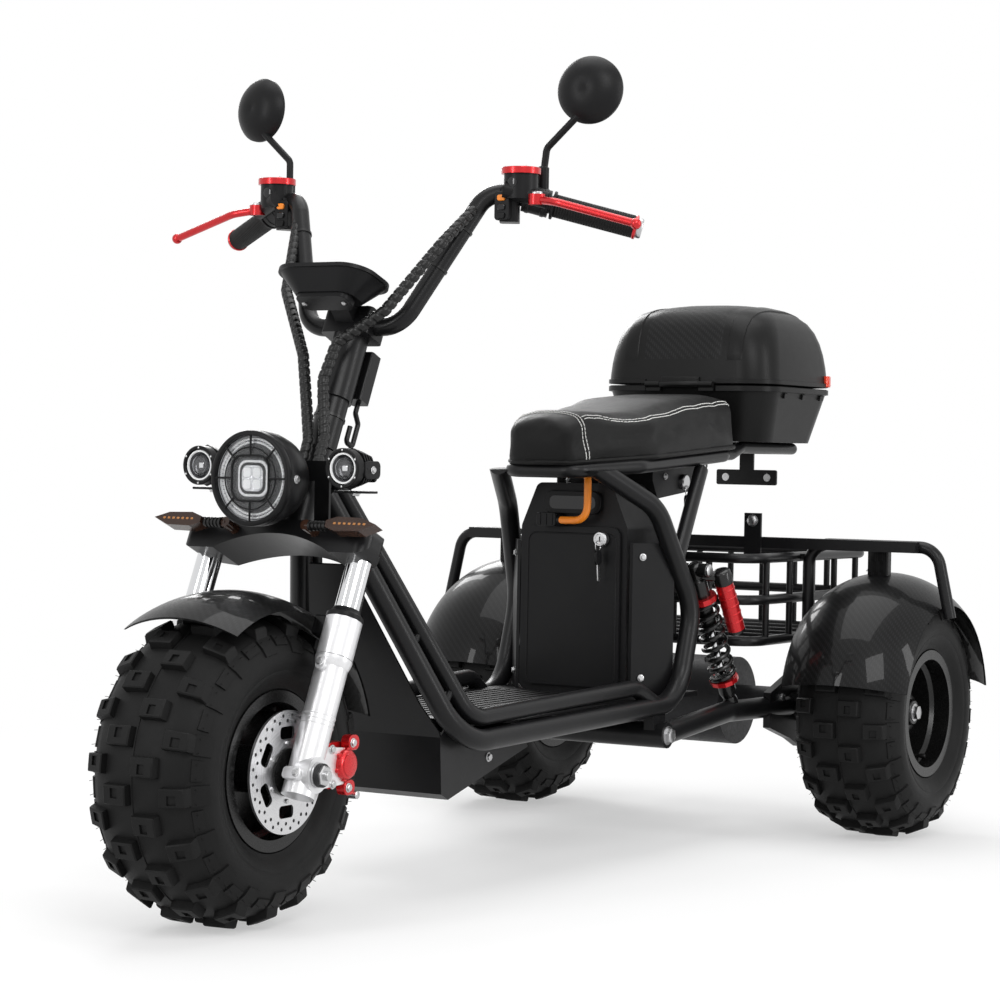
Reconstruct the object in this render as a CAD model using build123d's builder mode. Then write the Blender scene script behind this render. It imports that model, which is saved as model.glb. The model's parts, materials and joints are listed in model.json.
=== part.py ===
# Electric tricycle on three balloon tyres, in millimetres.
# Up is +Z, the front of the tricycle looks along -Y, the rider's left hand is on +X.
# The origin lies on the ground under the middle of the whole machine.
import os
from math import cos, radians, sin, sqrt, tan

from build123d import *

os.makedirs("parts", exist_ok=True)

# Stance
TYRE_RADIUS = 228
TYRE_WIDTH = 202
WHEELBASE = 1480
REAR_TRACK = 780
TAIL_OVERHANG = 296
FRONT_AXLE_Y = (TYRE_RADIUS - WHEELBASE - TAIL_OVERHANG) / 2
REAR_X = REAR_TRACK / 2

# Fits
RUNNING_FIT = 0.05
SKIN_GAP = 0.3

# Tyres
LUG_PITCHES = 17
TYRE_SIDES = 2 * LUG_PITCHES
LUG_LENGTH = 26
LUG_ROOT = 5
TREAD_DEPTH = 19
TREAD_FLAT = 46
SHOULDER_HALF = 86
SHOULDER_DROP = 36
BULGE_DROP = 68
CAVITY_SIDES = 12
CAVITY_HALF = 70
TREAD_WALL = 25

# Rims and front brake
BEAD_RADIUS = 103
BEAD_HALF = 80
FLANGE_RADIUS = 115
FLANGE_HALF = 86
RIM_WALL = 5
WELL_HALF = 50
WELL_DEPTH = 8
WELL_SLOPE = 6
HUB_RADIUS = 34
FRONT_HUB_HALF = 109
DISH_THICKNESS = 6
DISC_X = 104
DISC_RADIUS = 88
DISC_THICKNESS = 4
DISC_GAP = 5
AXLE_RADIUS = 10
STUB_RADIUS = 14

# Fork and steering head
RAKE = 24
FORK_OFFSET = 17
FORK_X = 135
STANCHION_RADIUS = 19
LEG_RADIUS = 24
LEG_COLLAR_RADIUS = 27
LEG_COLLAR_LENGTH = 62
LEG_BOTTOM = -34
LEG_TOP = 236
CROWN_BOTTOM = 322
CROWN_TOP = 370
CROWN_HALF = 164
CROWN_FRONT = -56
CROWN_END_BACK = -6
CROWN_MIDDLE_BACK = 30
HEAD_BOTTOM = 376
HEAD_TOP = 502
HEAD_RADIUS = 30
STEERER_RADIUS = 18
STEM_BOTTOM = 508
STEM_COLLAR = 590
STEM_TOP = 694
STEM_RADIUS = 23
STEM_COLLAR_RADIUS = 27
BAR_LIFT = 714
BAR_RADIUS = 14
BAR_BEND = 46
GRIP_RADIUS = 17.5
GRIP_LENGTH = 122

# Lamps
LAMP_FRONT = 42
LAMP_RADIUS = 70
LAMP_RING = 8
LAMP_WAIST = 52
LAMP_CROWN_GAP = 8
BRACKET_BACK = 146
BRACKET_THICKNESS = 5
FOG_X = 129
FOG_FRONT = 92
FOG_RADIUS = 29
FOG_LIFT = 17

# Frame
TUBE_RADIUS = 17
FLOOR_TUBE_RADIUS = 14
RING_RADIUS = 12
BRACE_RADIUS = 13
HOOP_RADIUS = 11
BASKET_TUBE_RADIUS = 9
BASKET_ROD_RADIUS = 6
ARM_RADIUS = 22
ARM_TUBE_RADIUS = 19
FLOOR_TOP = 270
FLOOR_THICKNESS = 8

# Seat and battery
SEAT_FRONT = 868
SEAT_REAR = 1385
SEAT_LOW = 668
SEAT_TILT = 4
SEAT_THICKNESS = 98
SEAT_LENGTH = SEAT_REAR - SEAT_FRONT
BATTERY_FRONT = 1000
BATTERY_BACK = 1120
BATTERY_TOP = 636
BATTERY_SHOULDER = 560
BATTERY_HALF = 106

# Top case
CASE_MIDDLE = 1558
CASE_FLOOR = 716
CASE_RIM = 820
CASE_TOP = 977
CASE_WIDTH = 352
CASE_DEPTH = 322
CASE_FLARE = 52
CASE_CORNER = 62
CASE_WALL = 4
LID_GAP = 3
LID_TAPER = 54
LID_ROUND = 52
HINGE_HALF = 40
HINGE_RADIUS = 6
HINGE_PIN = 2.5
HINGE_BACK = CASE_MIDDLE - CASE_DEPTH / 2 - HINGE_RADIUS - 1
HINGE_HEIGHT = CASE_RIM + LID_GAP / 2
RACK_RADIUS = 11

# Mudguards
FRONT_GUARD_RADIUS = TYRE_RADIUS + 26
FRONT_GUARD_HALF = 100
FRONT_GUARD_DROP = 26
REAR_GUARD_RADIUS = TYRE_RADIUS + 25
REAR_GUARD_HALF = 121
REAR_GUARD_DROP = 56
GUARD_THICKNESS = 3.5


def at(x, back, up):
    """Point from its distance left of the middle, behind the front axle and over the ground."""
    return Vector(x, FRONT_AXLE_Y + back, up)


def side(x):
    """Upright plane along the machine, drawn as distance behind the front axle and height."""
    return Plane(origin=at(x, 0, 0), x_dir=(0, 1, 0), z_dir=(1, 0, 0))


def across(back):
    """Upright plane across the machine, drawn as distance left and height, facing forward."""
    return Plane(origin=at(0, back, 0), x_dir=(1, 0, 0), z_dir=(0, -1, 0))


def level(up):
    """Flat plane, drawn as distance left and distance behind the front axle."""
    return Plane(origin=at(0, 0, up), x_dir=(1, 0, 0), z_dir=(0, 0, 1))


def wheel_plane(x, back):
    """Plane through a wheel's axle, drawn as distance along the axle and radius."""
    return Plane(origin=at(x, back, TYRE_RADIUS), x_dir=(1, 0, 0), z_dir=(0, -1, 0))


def axle_line(back):
    return Axis(at(0, back, TYRE_RADIUS), (1, 0, 0))


STEER_UP = Vector(0, sin(radians(RAKE)), cos(radians(RAKE)))
STEER_BACK = Vector(0, cos(radians(RAKE)), -sin(radians(RAKE)))
STEER = Plane(
    origin=at(0, 0, TYRE_RADIUS) + STEER_BACK * FORK_OFFSET,
    x_dir=(1, 0, 0),
    z_dir=STEER_UP,
)


def on_fork(x, back, up):
    """Point in the turning fork's own frame, whose height runs along the steering line."""
    return STEER.from_local_coords(Vector(x, back, up))


def fork_side(x):
    """Plane along the turning fork, drawn as distance behind and height along its steering line."""
    return Plane(origin=on_fork(x, 0, 0), x_dir=STEER_BACK, z_dir=(1, 0, 0))


def fork_face(back):
    """Plane across the turning fork, drawn as distance left and height, facing forward."""
    return Plane(origin=on_fork(0, back, 0), x_dir=(1, 0, 0), z_dir=-STEER_BACK)


def bent_tube(points, bend, radius, mode=Mode.ADD):
    """Round tube through corner points, each corner bent to the same radius."""
    with BuildLine() as run:
        FilletPolyline(*points, radius=bend)
    with BuildSketch(run.line ^ 0) as section:
        Circle(radius)
    sweep(sections=section.sketch, path=run.line, mode=mode)


def rod(start, end, radius, mode=Mode.ADD):
    """Straight round bar between two points."""
    with BuildSketch(Plane(origin=start, z_dir=end - start)) as section:
        Circle(radius)
    extrude(section.sketch, amount=(end - start).length, mode=mode)


def plate(plane, outline, thickness, mode=Mode.ADD):
    """Flat sheet with a cornered outline, as thick as given along its plane's facing."""
    with BuildSketch(plane) as section:
        with BuildLine():
            Polyline(*outline, close=True)
        make_face()
    extrude(section.sketch, amount=thickness, mode=mode)


def block(plane, middle, size, corner, thickness, mode=Mode.ADD):
    """Rounded slab round a middle point of a plane."""
    with BuildSketch(plane) as section:
        with Locations(middle):
            RectangleRounded(*size, corner)
    extrude(section.sketch, amount=thickness, mode=mode)


def save(builder, name):
    builder.part.label = name
    export_step(builder.part, f"parts/{name}.step")


# Tyres: one form with flat-sided carcass, set on all three wheels
TREAD_TOP = TYRE_RADIUS - TREAD_DEPTH
SHOULDER_RADIUS = TYRE_RADIUS - SHOULDER_DROP
# Right half of the carcass: distance from its middle, distance of the flats from the axle
CARCASS = (
    (TREAD_FLAT, TREAD_TOP),
    (SHOULDER_HALF, SHOULDER_RADIUS),
    (TYRE_WIDTH / 2, TYRE_RADIUS - BULGE_DROP),
    (BEAD_HALF, FLANGE_RADIUS + 2),
    (BEAD_HALF, BEAD_RADIUS - 3),
)
# Lug rows: inner edge, outer edge, radius of the tip at each, radius of the root
LUG_ROWS = (
    (4, TREAD_FLAT - 4, TYRE_RADIUS, TYRE_RADIUS - 1, TREAD_TOP - LUG_ROOT),
    (TREAD_FLAT + 4, SHOULDER_HALF - 2, TYRE_RADIUS - 5, TYRE_RADIUS - 19, SHOULDER_RADIUS - LUG_ROOT),
)


def wheel_section(offset):
    """Plane square to the axle of a wheel whose middle is at the world's origin."""
    return Plane(origin=(offset, 0, 0), x_dir=(0, 1, 0), z_dir=(1, 0, 0))


with BuildPart() as tyre_sector:
    half_step = radians(180 / TYRE_SIDES)
    reach = 2 * TREAD_TOP * tan(half_step)
    with BuildSketch(Plane(origin=(0, -reach, 0), x_dir=(1, 0, 0), z_dir=(0, 1, 0))):
        with BuildLine():
            left_half = [(offset, -flat) for offset, flat in CARCASS]
            right_half = [(-offset, -flat) for offset, flat in reversed(CARCASS)]
            Polyline(*left_half, *right_half, close=True)
        make_face()
    extrude(amount=2 * reach)
    for hand in (1, -1):
        mitre = Plane(origin=(0, 0, 0), z_dir=(0, hand * cos(half_step), -sin(half_step)))
        split(bisect_by=mitre, keep=Keep.BOTTOM)

with BuildPart() as tyre_form:
    with Locations(*[Rotation(360 / TYRE_SIDES * turn, 0, 0) for turn in range(TYRE_SIDES)]):
        add(tyre_sector.part)
    with BuildSketch(wheel_section(-TYRE_WIDTH / 2)):
        RegularPolygon(BEAD_RADIUS + SKIN_GAP, LUG_PITCHES, major_radius=False)
    extrude(amount=TYRE_WIDTH, mode=Mode.SUBTRACT)
    with BuildSketch(wheel_section(-CAVITY_HALF)):
        RegularPolygon(TREAD_TOP - TREAD_WALL, CAVITY_SIDES, major_radius=False)
    extrude(amount=2 * CAVITY_HALF, mode=Mode.SUBTRACT)
    for row, (inner, outer, inner_tip, outer_tip, root) in enumerate(LUG_ROWS):
        for hand in (1, -1):
            first_flat = row if hand > 0 else 1 - row
            lug_planes = []
            for pitch in range(LUG_PITCHES):
                turn = radians(90 + 360 / TYRE_SIDES * (2 * pitch + first_flat))
                along = Vector(0, -sin(turn), cos(turn)) * hand
                lug_planes.append(Plane(origin=along * -LUG_LENGTH / 2, x_dir=(hand, 0, 0), z_dir=along))
            with BuildSketch(*lug_planes):
                with BuildLine():
                    Polyline((inner, root), (inner, inner_tip), (outer, outer_tip), (outer, root), close=True)
                make_face()
            extrude(amount=LUG_LENGTH)

# Wheel middles: node, distance left, distance behind the front axle
for name, x, back in (
    ("front_tyre", 0, 0),
    ("rear_tyre_left", REAR_X, WHEELBASE),
    ("rear_tyre_right", -REAR_X, WHEELBASE),
):
    with BuildPart() as tyre:
        with Locations(at(x, back, TYRE_RADIUS)):
            add(tyre_form.part)
    save(tyre, name)


# Rims
def rim_barrel(x, back):
    """Rolled barrel with a flange at each side and a well in its middle."""
    inner = BEAD_RADIUS - RIM_WALL
    right_half = (
        (FLANGE_HALF, inner),
        (FLANGE_HALF, FLANGE_RADIUS),
        (BEAD_HALF, FLANGE_RADIUS),
        (BEAD_HALF, BEAD_RADIUS),
        (WELL_HALF + WELL_SLOPE, BEAD_RADIUS),
        (WELL_HALF, BEAD_RADIUS - WELL_DEPTH),
    )
    well = ((WELL_HALF, inner - WELL_DEPTH), (WELL_HALF + WELL_SLOPE, inner))
    with BuildSketch(wheel_plane(x, back)) as section:
        with BuildLine():
            Polyline(
                *right_half,
                *[(-offset, radius) for offset, radius in reversed(right_half)],
                *[(-offset, radius) for offset, radius in reversed(well)],
                *well,
                close=True,
            )
        make_face()
    revolve(section.sketch, axis=axle_line(back))


def disc_ring(x, back, ends, outer, inner=0):
    """Flat ring round a wheel's axle between two distances along it."""
    low, high = sorted(ends)
    with BuildSketch(Plane(origin=at(x + low, back, TYRE_RADIUS), z_dir=(1, 0, 0))) as ring:
        Circle(outer)
        if inner > 0:
            Circle(inner, mode=Mode.SUBTRACT)
    extrude(ring.sketch, amount=high - low)


DISH_RADIUS = BEAD_RADIUS - WELL_DEPTH - RIM_WALL / 2
FRONT_DISH = 20
with BuildPart() as front_rim:
    rim_barrel(0, 0)
    disc_ring(0, 0, (FRONT_DISH, FRONT_DISH + DISH_THICKNESS), DISH_RADIUS, AXLE_RADIUS + RUNNING_FIT)
    disc_ring(0, 0, (-FRONT_HUB_HALF, FRONT_HUB_HALF), HUB_RADIUS, AXLE_RADIUS + RUNNING_FIT)
save(front_rim, "front_rim")

DISC_WINDOWS = 6
DISC_WINDOW = (18, 34)
DISC_WINDOW_MIDDLE = 56
DISC_HOLE = 2.8
DISC_HOLE_SIDES = 8
# Rows of holes in the disc: radius of the row, number of holes, turn of the first one in degrees
DISC_HOLE_ROWS = ((73, 24, 0), (81, 24, 7.5))
with BuildPart() as brake_disc:
    with BuildSketch(Plane(origin=at(DISC_X - DISC_THICKNESS / 2, 0, TYRE_RADIUS), z_dir=(1, 0, 0))):
        Circle(DISC_RADIUS)
        Circle(HUB_RADIUS, mode=Mode.SUBTRACT)
        with PolarLocations(DISC_WINDOW_MIDDLE, DISC_WINDOWS):
            RectangleRounded(*DISC_WINDOW, 6, mode=Mode.SUBTRACT)
        for row_radius, holes, first_turn in DISC_HOLE_ROWS:
            with PolarLocations(row_radius, holes, start_angle=first_turn):
                RegularPolygon(DISC_HOLE, DISC_HOLE_SIDES, mode=Mode.SUBTRACT)
    extrude(amount=DISC_THICKNESS)
save(brake_disc, "brake_disc")

REAR_DISH = 8
REAR_HUB = (-60, 46)
STUB_DEPTH = REAR_X / 2
HOUSING_REACH = REAR_X + REAR_HUB[0] - 68


def rear_rim(hand, name):
    """Rim with its hub and the driven stub that runs in the axle housing."""
    x = hand * REAR_X
    with BuildPart() as body:
        rim_barrel(x, WHEELBASE)
        disc_ring(x, WHEELBASE, (hand * REAR_DISH, hand * (REAR_DISH + DISH_THICKNESS)), DISH_RADIUS)
        disc_ring(x, WHEELBASE, (hand * REAR_HUB[0], hand * REAR_HUB[1]), HUB_RADIUS)
        disc_ring(x, WHEELBASE, (hand * -STUB_DEPTH, hand * REAR_HUB[0]), STUB_RADIUS)
    save(body, name)


rear_rim(1, "rear_rim_left")
rear_rim(-1, "rear_rim_right")

# Fork
LUG_PLATE = 14
LUG_PLATE_X = FORK_X - 6
CALIPER_BACK = 88
CALIPER_UP = 232
CALIPER_SIZE = (52, 66)
BOSS_RADIUS = 26
with BuildPart() as fork_legs:
    collar_low = LEG_TOP - LEG_COLLAR_LENGTH
    rod(on_fork(FORK_X, -FORK_OFFSET, LEG_BOTTOM), on_fork(FORK_X, -FORK_OFFSET, collar_low), LEG_RADIUS)
    rod(on_fork(FORK_X, -FORK_OFFSET, collar_low), on_fork(FORK_X, -FORK_OFFSET, LEG_TOP), LEG_COLLAR_RADIUS)
    rod(at(FORK_X, 0, TYRE_RADIUS), at(FORK_X + LEG_RADIUS, 0, TYRE_RADIUS), BOSS_RADIUS)
    mirror(about=Plane.YZ)
    lug_end = CALIPER_BACK + 10
    plate(
        side(LUG_PLATE_X),
        (
            (0, CALIPER_UP + 34),
            (lug_end - 8, CALIPER_UP + 26),
            (lug_end, CALIPER_UP + 18),
            (lug_end, CALIPER_UP - 18),
            (lug_end - 8, CALIPER_UP - 26),
            (0, CALIPER_UP - 30),
        ),
        LUG_PLATE,
    )
    axle_reach = FORK_X + 60
    rod(at(-axle_reach, 0, TYRE_RADIUS), at(axle_reach, 0, TYRE_RADIUS), AXLE_RADIUS, Mode.SUBTRACT)
save(fork_legs, "fork_legs")

with BuildPart() as stanchions:
    rod(on_fork(FORK_X, -FORK_OFFSET, LEG_TOP), on_fork(FORK_X, -FORK_OFFSET, CROWN_BOTTOM), STANCHION_RADIUS)
    mirror(about=Plane.YZ)
save(stanchions, "stanchions")

AXLE_NUT_RADIUS = 17
with BuildPart() as front_axle:
    nut_face = FORK_X + LEG_RADIUS
    rod(at(-nut_face, 0, TYRE_RADIUS), at(nut_face, 0, TYRE_RADIUS), AXLE_RADIUS)
    rod(at(nut_face, 0, TYRE_RADIUS), at(nut_face + 10, 0, TYRE_RADIUS), AXLE_NUT_RADIUS)
    mirror(about=Plane.YZ)
save(front_axle, "front_axle")

ARCH_HALF = 104
ARCH_RISE = 26
with BuildPart() as fork_crown:
    with BuildSketch(STEER.offset(CROWN_BOTTOM)):
        with BuildLine():
            front_edge = Line((-CROWN_HALF, CROWN_FRONT), (CROWN_HALF, CROWN_FRONT))
            left_end = Line(front_edge @ 1, (CROWN_HALF, CROWN_END_BACK))
            rear_edge = ThreePointArc(left_end @ 1, (0, CROWN_MIDDLE_BACK), (-CROWN_HALF, CROWN_END_BACK))
            Line(rear_edge @ 1, front_edge @ 0)
        make_face()
    extrude(amount=CROWN_TOP - CROWN_BOTTOM)
    with BuildSketch(fork_face(CROWN_MIDDLE_BACK + 50)):
        with BuildLine():
            arch = ThreePointArc(
                (-ARCH_HALF, CROWN_BOTTOM), (0, CROWN_BOTTOM + ARCH_RISE), (ARCH_HALF, CROWN_BOTTOM)
            )
            Line(arch @ 1, arch @ 0)
        make_face()
    extrude(amount=200, mode=Mode.SUBTRACT)
    fillet(fork_crown.edges().filter_by(lambda e: e.length > 45 and abs(e.center().X) > CROWN_HALF - 2), 18)
save(fork_crown, "fork_crown")

CLAMP = (84, 52)
CLAMP_COVER = 9
HOOK_BOX = (30, 26)
HOOK_X = 14
HOOK_RADIUS = 4
with BuildPart() as stem:
    rod(on_fork(0, 0, CROWN_TOP), on_fork(0, 0, STEM_BOTTOM), STEERER_RADIUS)
    rod(on_fork(0, 0, STEM_BOTTOM), on_fork(0, 0, STEM_COLLAR), STEM_RADIUS)
    rod(on_fork(0, 0, STEM_COLLAR), on_fork(0, 0, STEM_TOP), STEM_COLLAR_RADIUS)
    block(STEER.offset(STEM_TOP), (0, 0), CLAMP, 8, BAR_LIFT - STEM_TOP + BAR_RADIUS + CLAMP_COVER)
    box_low = STEM_COLLAR + 14
    box_back = STEM_COLLAR_RADIUS + HOOK_BOX[1] / 2 - 3
    block(STEER.offset(box_low), (HOOK_X, box_back), HOOK_BOX, 4, STEM_TOP - box_low - 10)
    hook_back = box_back + 4
    bent_tube(
        (
            on_fork(HOOK_X, hook_back, box_low + 4),
            on_fork(HOOK_X, hook_back, box_low - 16),
            on_fork(HOOK_X, hook_back + 14, box_low - 28),
            on_fork(HOOK_X, hook_back + 14, box_low - 66),
            on_fork(HOOK_X, hook_back - 4, box_low - 66),
            on_fork(HOOK_X, hook_back - 4, box_low - 40),
        ),
        6,
        HOOK_RADIUS,
    )
    rod(on_fork(-CLAMP[0], 0, BAR_LIFT), on_fork(CLAMP[0], 0, BAR_LIFT), BAR_RADIUS, Mode.SUBTRACT)
save(stem, "stem")

# Left half of the handlebar: middle, foot of the riser, top of the riser, grip's end
BAR_POINTS = (
    on_fork(0, 0, BAR_LIFT),
    on_fork(84, 0, BAR_LIFT),
    at(178, 405, 1088),
    at(368, 506, 1034),
)
GRIP_LINE = (BAR_POINTS[3] - BAR_POINTS[2]).normalized()


def on_bar(along, left=0, back=0, up=0):
    """Point by the left grip's line, measured back from its outer end and then shifted."""
    return BAR_POINTS[3] - GRIP_LINE * along + Vector(left, back, up)


with BuildPart() as handlebar:
    bent_tube(BAR_POINTS, BAR_BEND, BAR_RADIUS)
    mirror(about=Plane.YZ)
save(handlebar, "handlebar")

with BuildPart() as grips:
    rod(on_bar(-9), on_bar(GRIP_LENGTH), GRIP_RADIUS)
    rod(on_bar(0), on_bar(GRIP_LENGTH + 10), BAR_RADIUS, Mode.SUBTRACT)
    mirror(about=Plane.YZ)
save(grips, "grips")

CONTROL = GRIP_LENGTH + 28
CLAMP_RING = 21
BOWL_RADIUS = 26
BOWL_LOW = 14
BOWL_HIGH = 38
CAP_RADIUS = 30
CAP_HEIGHT = 9
BOWL_LEFT = -12
BOWL_BACK = -24
PUMP_BACK = -30
with BuildPart() as master_cylinders:
    rod(on_bar(CONTROL - 22), on_bar(CONTROL + 18), CLAMP_RING)
    rod(on_bar(CONTROL - 34, 0, PUMP_BACK, 6), on_bar(CONTROL + 34, 0, PUMP_BACK, 6), 13)
    rod(
        on_bar(CONTROL, BOWL_LEFT, BOWL_BACK, 0),
        on_bar(CONTROL, BOWL_LEFT, BOWL_BACK, BOWL_HIGH),
        BOWL_RADIUS,
    )
    rod(on_bar(CONTROL + 2, 0, 26, 0), on_bar(CONTROL + 2, 0, 26, 52), 9)
    rod(on_bar(CONTROL + 2, 0, 0, 0), on_bar(CONTROL + 2, 0, 26, 10), 9)
    switch_plane = Plane(origin=on_bar(CONTROL + 40, 0, 0, -44), x_dir=GRIP_LINE, z_dir=(0, 0, 1))
    block(switch_plane, (0, 0), (30, 38), 6, 50)
    mirror(about=Plane.YZ)
    add(handlebar.part, mode=Mode.SUBTRACT)
save(master_cylinders, "master_cylinders")

with BuildPart() as reservoir_caps:
    rod(
        on_bar(CONTROL, BOWL_LEFT, BOWL_BACK, BOWL_HIGH),
        on_bar(CONTROL, BOWL_LEFT, BOWL_BACK, BOWL_HIGH + CAP_HEIGHT),
        CAP_RADIUS,
    )
    mirror(about=Plane.YZ)
save(reservoir_caps, "reservoir_caps")

LEVER_RADIUS = 6
LEVER_ROOT = on_bar(CONTROL - 24, 0, PUMP_BACK - 12, 4)
LEVER_TIP = at(427, 413, 1028)
with BuildPart() as levers:
    bent_tube((LEVER_ROOT, LEVER_ROOT + Vector(40, -12, -6), LEVER_TIP), 40, LEVER_RADIUS)
    rod(LEVER_ROOT - Vector(0, 0, 8), LEVER_ROOT + Vector(0, 0, 8), 13)
    with Locations(LEVER_TIP):
        Sphere(LEVER_RADIUS + 2.5)
    add(master_cylinders.part, mode=Mode.SUBTRACT)
    mirror(about=Plane.YZ)
save(levers, "levers")

MIRROR_MIDDLE = at(308, 482, 1240)
MIRROR_RADIUS = 52
MIRROR_DEPTH = 26
MIRROR_RIM = 5
MIRROR_FACE = Vector(-0.18, 0.97, -0.06).normalized()
MIRROR_LEVEL = MIRROR_FACE.cross(Vector(0, 0, 1)).normalized()
with BuildPart() as mirrors:
    mirror_root = on_bar(CONTROL + 2, 0, 26, 40)
    bent_tube((mirror_root, mirror_root + Vector(3, 4, 42), MIRROR_MIDDLE + Vector(-8, -14, -34)), 14, 5.5)
    with BuildSketch(Plane(MIRROR_MIDDLE, x_dir=MIRROR_LEVEL, z_dir=MIRROR_LEVEL.cross(-MIRROR_FACE))):
        with BuildLine():
            face_line = Line((0, 0), (MIRROR_RADIUS, 0))
            rim_line = Line(face_line @ 1, (MIRROR_RADIUS, MIRROR_RIM))
            dome = ThreePointArc(rim_line @ 1, (0.7 * MIRROR_RADIUS, 0.78 * MIRROR_DEPTH), (0, MIRROR_DEPTH))
            Line(dome @ 1, face_line @ 0)
        make_face()
    revolve(axis=Axis(MIRROR_MIDDLE, MIRROR_FACE))
    mirror(about=Plane.YZ)
    add(master_cylinders.part, mode=Mode.SUBTRACT)
save(mirrors, "mirrors")

with BuildPart() as mirror_glass:
    with BuildSketch(Plane(origin=MIRROR_MIDDLE, z_dir=MIRROR_FACE)):
        Circle(MIRROR_RADIUS - MIRROR_RIM)
    extrude(amount=2)
    mirror(about=Plane.YZ)
save(mirror_glass, "mirror_glass")

DISPLAY_BACK = 237
DISPLAY_LOW = 912
DISPLAY_HEIGHT = 30
DISPLAY_RIM = 6
DISPLAY_FOOT = (104, 60)
DISPLAY_FACE = (160, 104)
DISPLAY = Plane(origin=at(0, DISPLAY_BACK, DISPLAY_LOW), x_dir=(1, 0, 0), z_dir=(0, 0.34, 0.94))
with BuildPart() as display:
    with BuildSketch(DISPLAY):
        RectangleRounded(*DISPLAY_FOOT, 22)
    with BuildSketch(DISPLAY.offset(DISPLAY_HEIGHT)):
        RectangleRounded(*DISPLAY_FACE, 38)
    loft()
    block(DISPLAY.offset(DISPLAY_HEIGHT), (0, 0), (DISPLAY_FACE[0] + 8, DISPLAY_FACE[1] + 8), 42, DISPLAY_RIM)
    plate(
        side(-16),
        (
            (DISPLAY_BACK + 8, DISPLAY_LOW + 8),
            (DISPLAY_BACK + 40, DISPLAY_LOW + 4),
            (DISPLAY_BACK + 78, DISPLAY_LOW - 24),
            (DISPLAY_BACK + 50, DISPLAY_LOW - 40),
        ),
        32,
    )
    add(stem.part, mode=Mode.SUBTRACT)
    add(handlebar.part, mode=Mode.SUBTRACT)
save(display, "display")

# Lamps
CROWN_LIP = on_fork(0, CROWN_FRONT, CROWN_TOP).Z
LAMP_HEIGHT = CROWN_LIP + LAMP_CROWN_GAP + LAMP_WAIST
FOG_HEIGHT = LAMP_HEIGHT + FOG_LIFT
with BuildPart() as lamp_bracket:
    rail_plane = across(BRACKET_BACK + BRACKET_THICKNESS)
    block(rail_plane, (0, LAMP_HEIGHT + 12), (2 * FOG_X + 42, 30), 6, BRACKET_THICKNESS)
    leg_low = CROWN_LIP - 24
    leg_high = LAMP_HEIGHT + 12
    for x in (56, -56):
        block(rail_plane, (x, (leg_low + leg_high) / 2), (26, leg_high - leg_low), 4, BRACKET_THICKNESS)
    add(fork_crown.part, mode=Mode.SUBTRACT)
save(lamp_bracket, "lamp_bracket")

LENS_DEPTH = 12
LENS_RADIUS = LAMP_RADIUS - LAMP_RING
LENS_THICKNESS = 6
SPOKES = 8
SPOKE_WIDTH = 3.5
GUARD_SQUARE = 60
GUARD_RING = 44
with BuildPart() as headlamp:
    with BuildSketch(side(0)):
        with BuildLine():
            Polyline(
                (LAMP_FRONT, LAMP_HEIGHT + LENS_RADIUS),
                (LAMP_FRONT, LAMP_HEIGHT + LAMP_RADIUS),
                (LAMP_FRONT + 30, LAMP_HEIGHT + LAMP_RADIUS),
                (LAMP_FRONT + 78, LAMP_HEIGHT + LAMP_WAIST),
                (BRACKET_BACK, LAMP_HEIGHT + 30),
                (BRACKET_BACK, LAMP_HEIGHT),
                (LAMP_FRONT + LENS_DEPTH, LAMP_HEIGHT),
                (LAMP_FRONT + LENS_DEPTH, LAMP_HEIGHT + LENS_RADIUS),
                close=True,
            )
        make_face()
    revolve(axis=Axis(at(0, 0, LAMP_HEIGHT), (0, 1, 0)))
    with BuildSketch(across(LAMP_FRONT + 5)):
        with Locations((0, LAMP_HEIGHT)):
            RectangleRounded(GUARD_SQUARE, GUARD_SQUARE, 17)
            RectangleRounded(GUARD_SQUARE - 8, GUARD_SQUARE - 8, 13, mode=Mode.SUBTRACT)
            with PolarLocations((GUARD_SQUARE / 2 - 2 + LENS_RADIUS + 2) / 2, SPOKES):
                Rectangle(LENS_RADIUS - GUARD_SQUARE / 2 + 4, SPOKE_WIDTH)
    extrude(amount=4)
save(headlamp, "headlamp")

with BuildPart() as lamp_lenses:
    with BuildSketch(across(LAMP_FRONT + LENS_DEPTH)):
        with Locations((0, LAMP_HEIGHT)):
            Circle(LENS_RADIUS - SKIN_GAP)
    extrude(amount=LENS_THICKNESS)
    with BuildSketch(across(FOG_FRONT + 8)):
        with Locations((FOG_X, FOG_HEIGHT), (-FOG_X, FOG_HEIGHT)):
            Circle(FOG_RADIUS - 5 - SKIN_GAP)
    extrude(amount=4)
save(lamp_lenses, "lamp_lenses")

FOG_FINS = 4
FOG_FIN_PITCH = 9
FOG_FIN = 2.5
with BuildPart() as fog_lamps:
    fog_places = ((FOG_X, FOG_HEIGHT), (-FOG_X, FOG_HEIGHT))
    with BuildSketch(across(FOG_FRONT + 14)):
        with Locations(*fog_places):
            Circle(FOG_RADIUS)
    extrude(amount=14)
    with BuildSketch(across(FOG_FRONT + 8)):
        with Locations(*fog_places):
            Circle(FOG_RADIUS - 5)
    extrude(amount=8, mode=Mode.SUBTRACT)
    with BuildSketch(across(BRACKET_BACK)):
        with Locations(*fog_places):
            RegularPolygon(FOG_RADIUS - 7, 8)
    extrude(amount=BRACKET_BACK - FOG_FRONT - 14)
    for fin in range(FOG_FINS):
        with BuildSketch(across(FOG_FRONT + 22 + FOG_FIN_PITCH * fin)):
            with Locations(*fog_places):
                RegularPolygon(FOG_RADIUS + 2 - 2 * fin, 8)
        extrude(amount=FOG_FIN)
save(fog_lamps, "fog_lamps")

INDICATOR_X = 72
INDICATOR_UP = 352
INDICATOR_BACK = CROWN_FRONT - 24
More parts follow.
